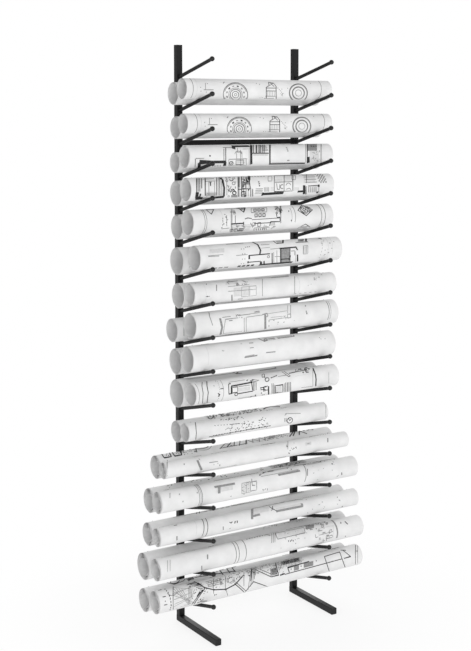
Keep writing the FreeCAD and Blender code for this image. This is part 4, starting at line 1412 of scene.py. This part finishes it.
def weld_beads(side):
    """A rippled fillet of weld round each arm where it enters the front of its upright."""
    face_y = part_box(side + "_upright_middle")[0][1] / MM
    low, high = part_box(side + "_arms")
    rod_radius = (high[0] - low[0]) / 2 / MM
    points, faces = [], []
    for root, tip in arm_axes(side + "_arms"):
        share = (face_y - root[1]) / (tip[1] - root[1])
        centre_x = root[0]
        centre_z = root[2] + (tip[2] - root[2]) * share
        lean = math.hypot(tip[1] - root[1], tip[2] - root[2]) / abs(tip[1] - root[1])
        first = len(points)
        for i in range(BEAD_STEPS):
            turn = math.tau * i / BEAD_STEPS
            out = (math.cos(turn), math.sin(turn))
            thick = BEAD_RADIUS + BEAD_RIPPLE * math.sin(RIPPLES * turn)
            for k in range(BEAD_SIDES):
                around = math.tau * k / BEAD_SIDES
                reach = rod_radius + BEAD_STANDOFF + thick * math.cos(around)
                points.append(
                    (
                        centre_x + reach * out[0],
                        face_y - BEAD_SINK + thick * math.sin(around),
                        centre_z + reach * out[1] * lean,
                    )
                )
        for i in range(BEAD_STEPS):
            for k in range(BEAD_SIDES):
                a, b = first + i * BEAD_SIDES, first + (i + 1) % BEAD_STEPS * BEAD_SIDES
                near = (k + 1) % BEAD_SIDES
                faces.append((a + k, a + near, b + near, b + k))
    piece = make_piece(side + "_arm_welds", points, faces, [powder_coat])
    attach(piece, "rack")


for side in ("left", "right"):
    weld_beads(side)


# ---------------------------------------------------------------- floor, lights and camera

FLOOR_RADIUS = 9000
FLOOR_RINGS, FLOOR_SPOKES = 24, 64
FADE_FROM, FADE_TO, FADE_NEAR = 0.2, 1.1, 0.82  # metres from the origin, and the fade at the feet
ROOM_LIGHT = 0.66


def pale_floor():
    """A seamless pale floor: it takes soft shadows by the feet and turns to plain white further out."""
    points, faces = [(0, 0, 0)], []
    for i in range(1, FLOOR_RINGS + 1):
        reach = FLOOR_RADIUS * i / FLOOR_RINGS
        for k in range(FLOOR_SPOKES):
            turn = math.tau * k / FLOOR_SPOKES
            points.append((reach * math.cos(turn), reach * math.sin(turn), 0))
    for k in range(FLOOR_SPOKES):
        faces.append((0, 1 + k, 1 + (k + 1) % FLOOR_SPOKES))
    for i in range(1, FLOOR_RINGS):
        for k in range(FLOOR_SPOKES):
            near, far = 1 + (i - 1) * FLOOR_SPOKES, 1 + i * FLOOR_SPOKES
            beside = (k + 1) % FLOOR_SPOKES
            faces.append((near + k, far + k, far + beside, near + beside))
    material = bpy.data.materials.new("seamless_paper_floor")
    material.use_nodes = True
    tree = material.node_tree
    tree.nodes.clear()
    place = add(tree, "TexCoord")
    reach = add(tree, "VectorMath", {0: (place, "Object")}, operation="LENGTH")
    fade = add(
        tree,
        "MapRange",
        {"Value": (reach, "Value"), "From Min": FADE_FROM, "From Max": FADE_TO, "To Min": FADE_NEAR},
        clamp=True,
        interpolation_type="SMOOTHSTEP",
    )
    mottle = add(tree, "TexNoise", {"Vector": (place, "Object"), "Scale": per_mm(400)})
    tone = add(tree, "Mix", {0: (mottle, "Fac"), 6: srgb("#F4F4F4"), 7: srgb("#FAFAFA")}, data_type="RGBA")
    sheet = add(tree, "BsdfPrincipled", {"Base Color": (tone, 2), "Roughness": 0.9})
    glow = add(tree, "Emission", {"Color": srgb("#FFFFFF"), "Strength": 1.0})
    mixed = add(tree, "MixShader", {0: (fade, "Result"), 1: (sheet, "BSDF"), 2: (glow, "Emission")})
    add(tree, "OutputMaterial", {"Surface": (mixed, "Shader")})
    floor = make_piece("floor", points, faces, [material], smooth=False)


pale_floor()

world = bpy.data.worlds.new("studio")
bpy.context.scene.world = world
world.use_nodes = True
room = world.node_tree
room.nodes.clear()
ray = add(room, "LightPath")
dim = add(room, "Background", {"Color": srgb("#FFFFFF"), "Strength": ROOM_LIGHT})
bright = add(room, "Background", {"Color": srgb("#FFFFFF"), "Strength": 1.0})
blend = add(
    room, "MixShader", {0: (ray, "Is Camera Ray"), 1: (dim, "Background"), 2: (bright, "Background")}
)
add(room, "OutputWorld", {"Surface": (blend, "Shader")})


def softbox(name, place, aim, wide, high, watts):
    """A soft area light at place, aimed at a point, both in millimetres."""
    lamp = bpy.data.lights.new(name, "AREA")
    lamp.shape = "RECTANGLE"
    lamp.size, lamp.size_y = wide * MM, high * MM
    lamp.energy = watts
    holder = bpy.data.objects.new(name, lamp)
    bpy.context.scene.collection.objects.link(holder)
    across, deep, up = (aim[i] - place[i] for i in range(3))
    flat = math.hypot(across, deep)
    holder.location = [c * MM for c in place]
    holder.rotation_euler = (math.pi / 2 + math.atan2(up, flat), 0, math.atan2(-across, deep))


softbox("key_softbox", (2300, -3300, 1900), (0, 0, 1100), 3600, 3600, 32)
softbox("front_softbox", (-1400, -4300, 1700), (0, 0, 900), 2400, 2400, 32)
softbox("rear_softbox", (2700, 3600, 2500), (0, 0, 1000), 2600, 2600, 60)
softbox("fill_softbox", (-3600, -1900, 1500), (0, 0, 1000), 2600, 2600, 34)

# The camera stands to the left of the rack, near the height of its upper tiers, and looks slightly
# down. Its shift lowers the view, so that the rack fills the frame with the uprights near plumb.
CAMERA_LENS, CAMERA_SENSOR, CAMERA_REACH = 69.3, 36, 100
CAMERA_SHIFT = (-0.0296, -0.1697)
CAMERA_TURN, CAMERA_DIP = math.radians(33.26), math.radians(4.5)

camera_data = bpy.data.cameras.new("camera")
camera_data.sensor_width = CAMERA_SENSOR
camera_data.lens = CAMERA_LENS
camera_data.shift_x, camera_data.shift_y = CAMERA_SHIFT
camera_data.clip_end = CAMERA_REACH
camera = bpy.data.objects.new("camera", camera_data)
camera.location = [c * MM for c in EYE]
camera.rotation_euler = (math.pi / 2 - CAMERA_DIP, 0, -CAMERA_TURN)
bpy.context.scene.collection.objects.link(camera)
bpy.context.scene.camera = camera
bpy.context.scene.view_settings.view_transform = "Standard"
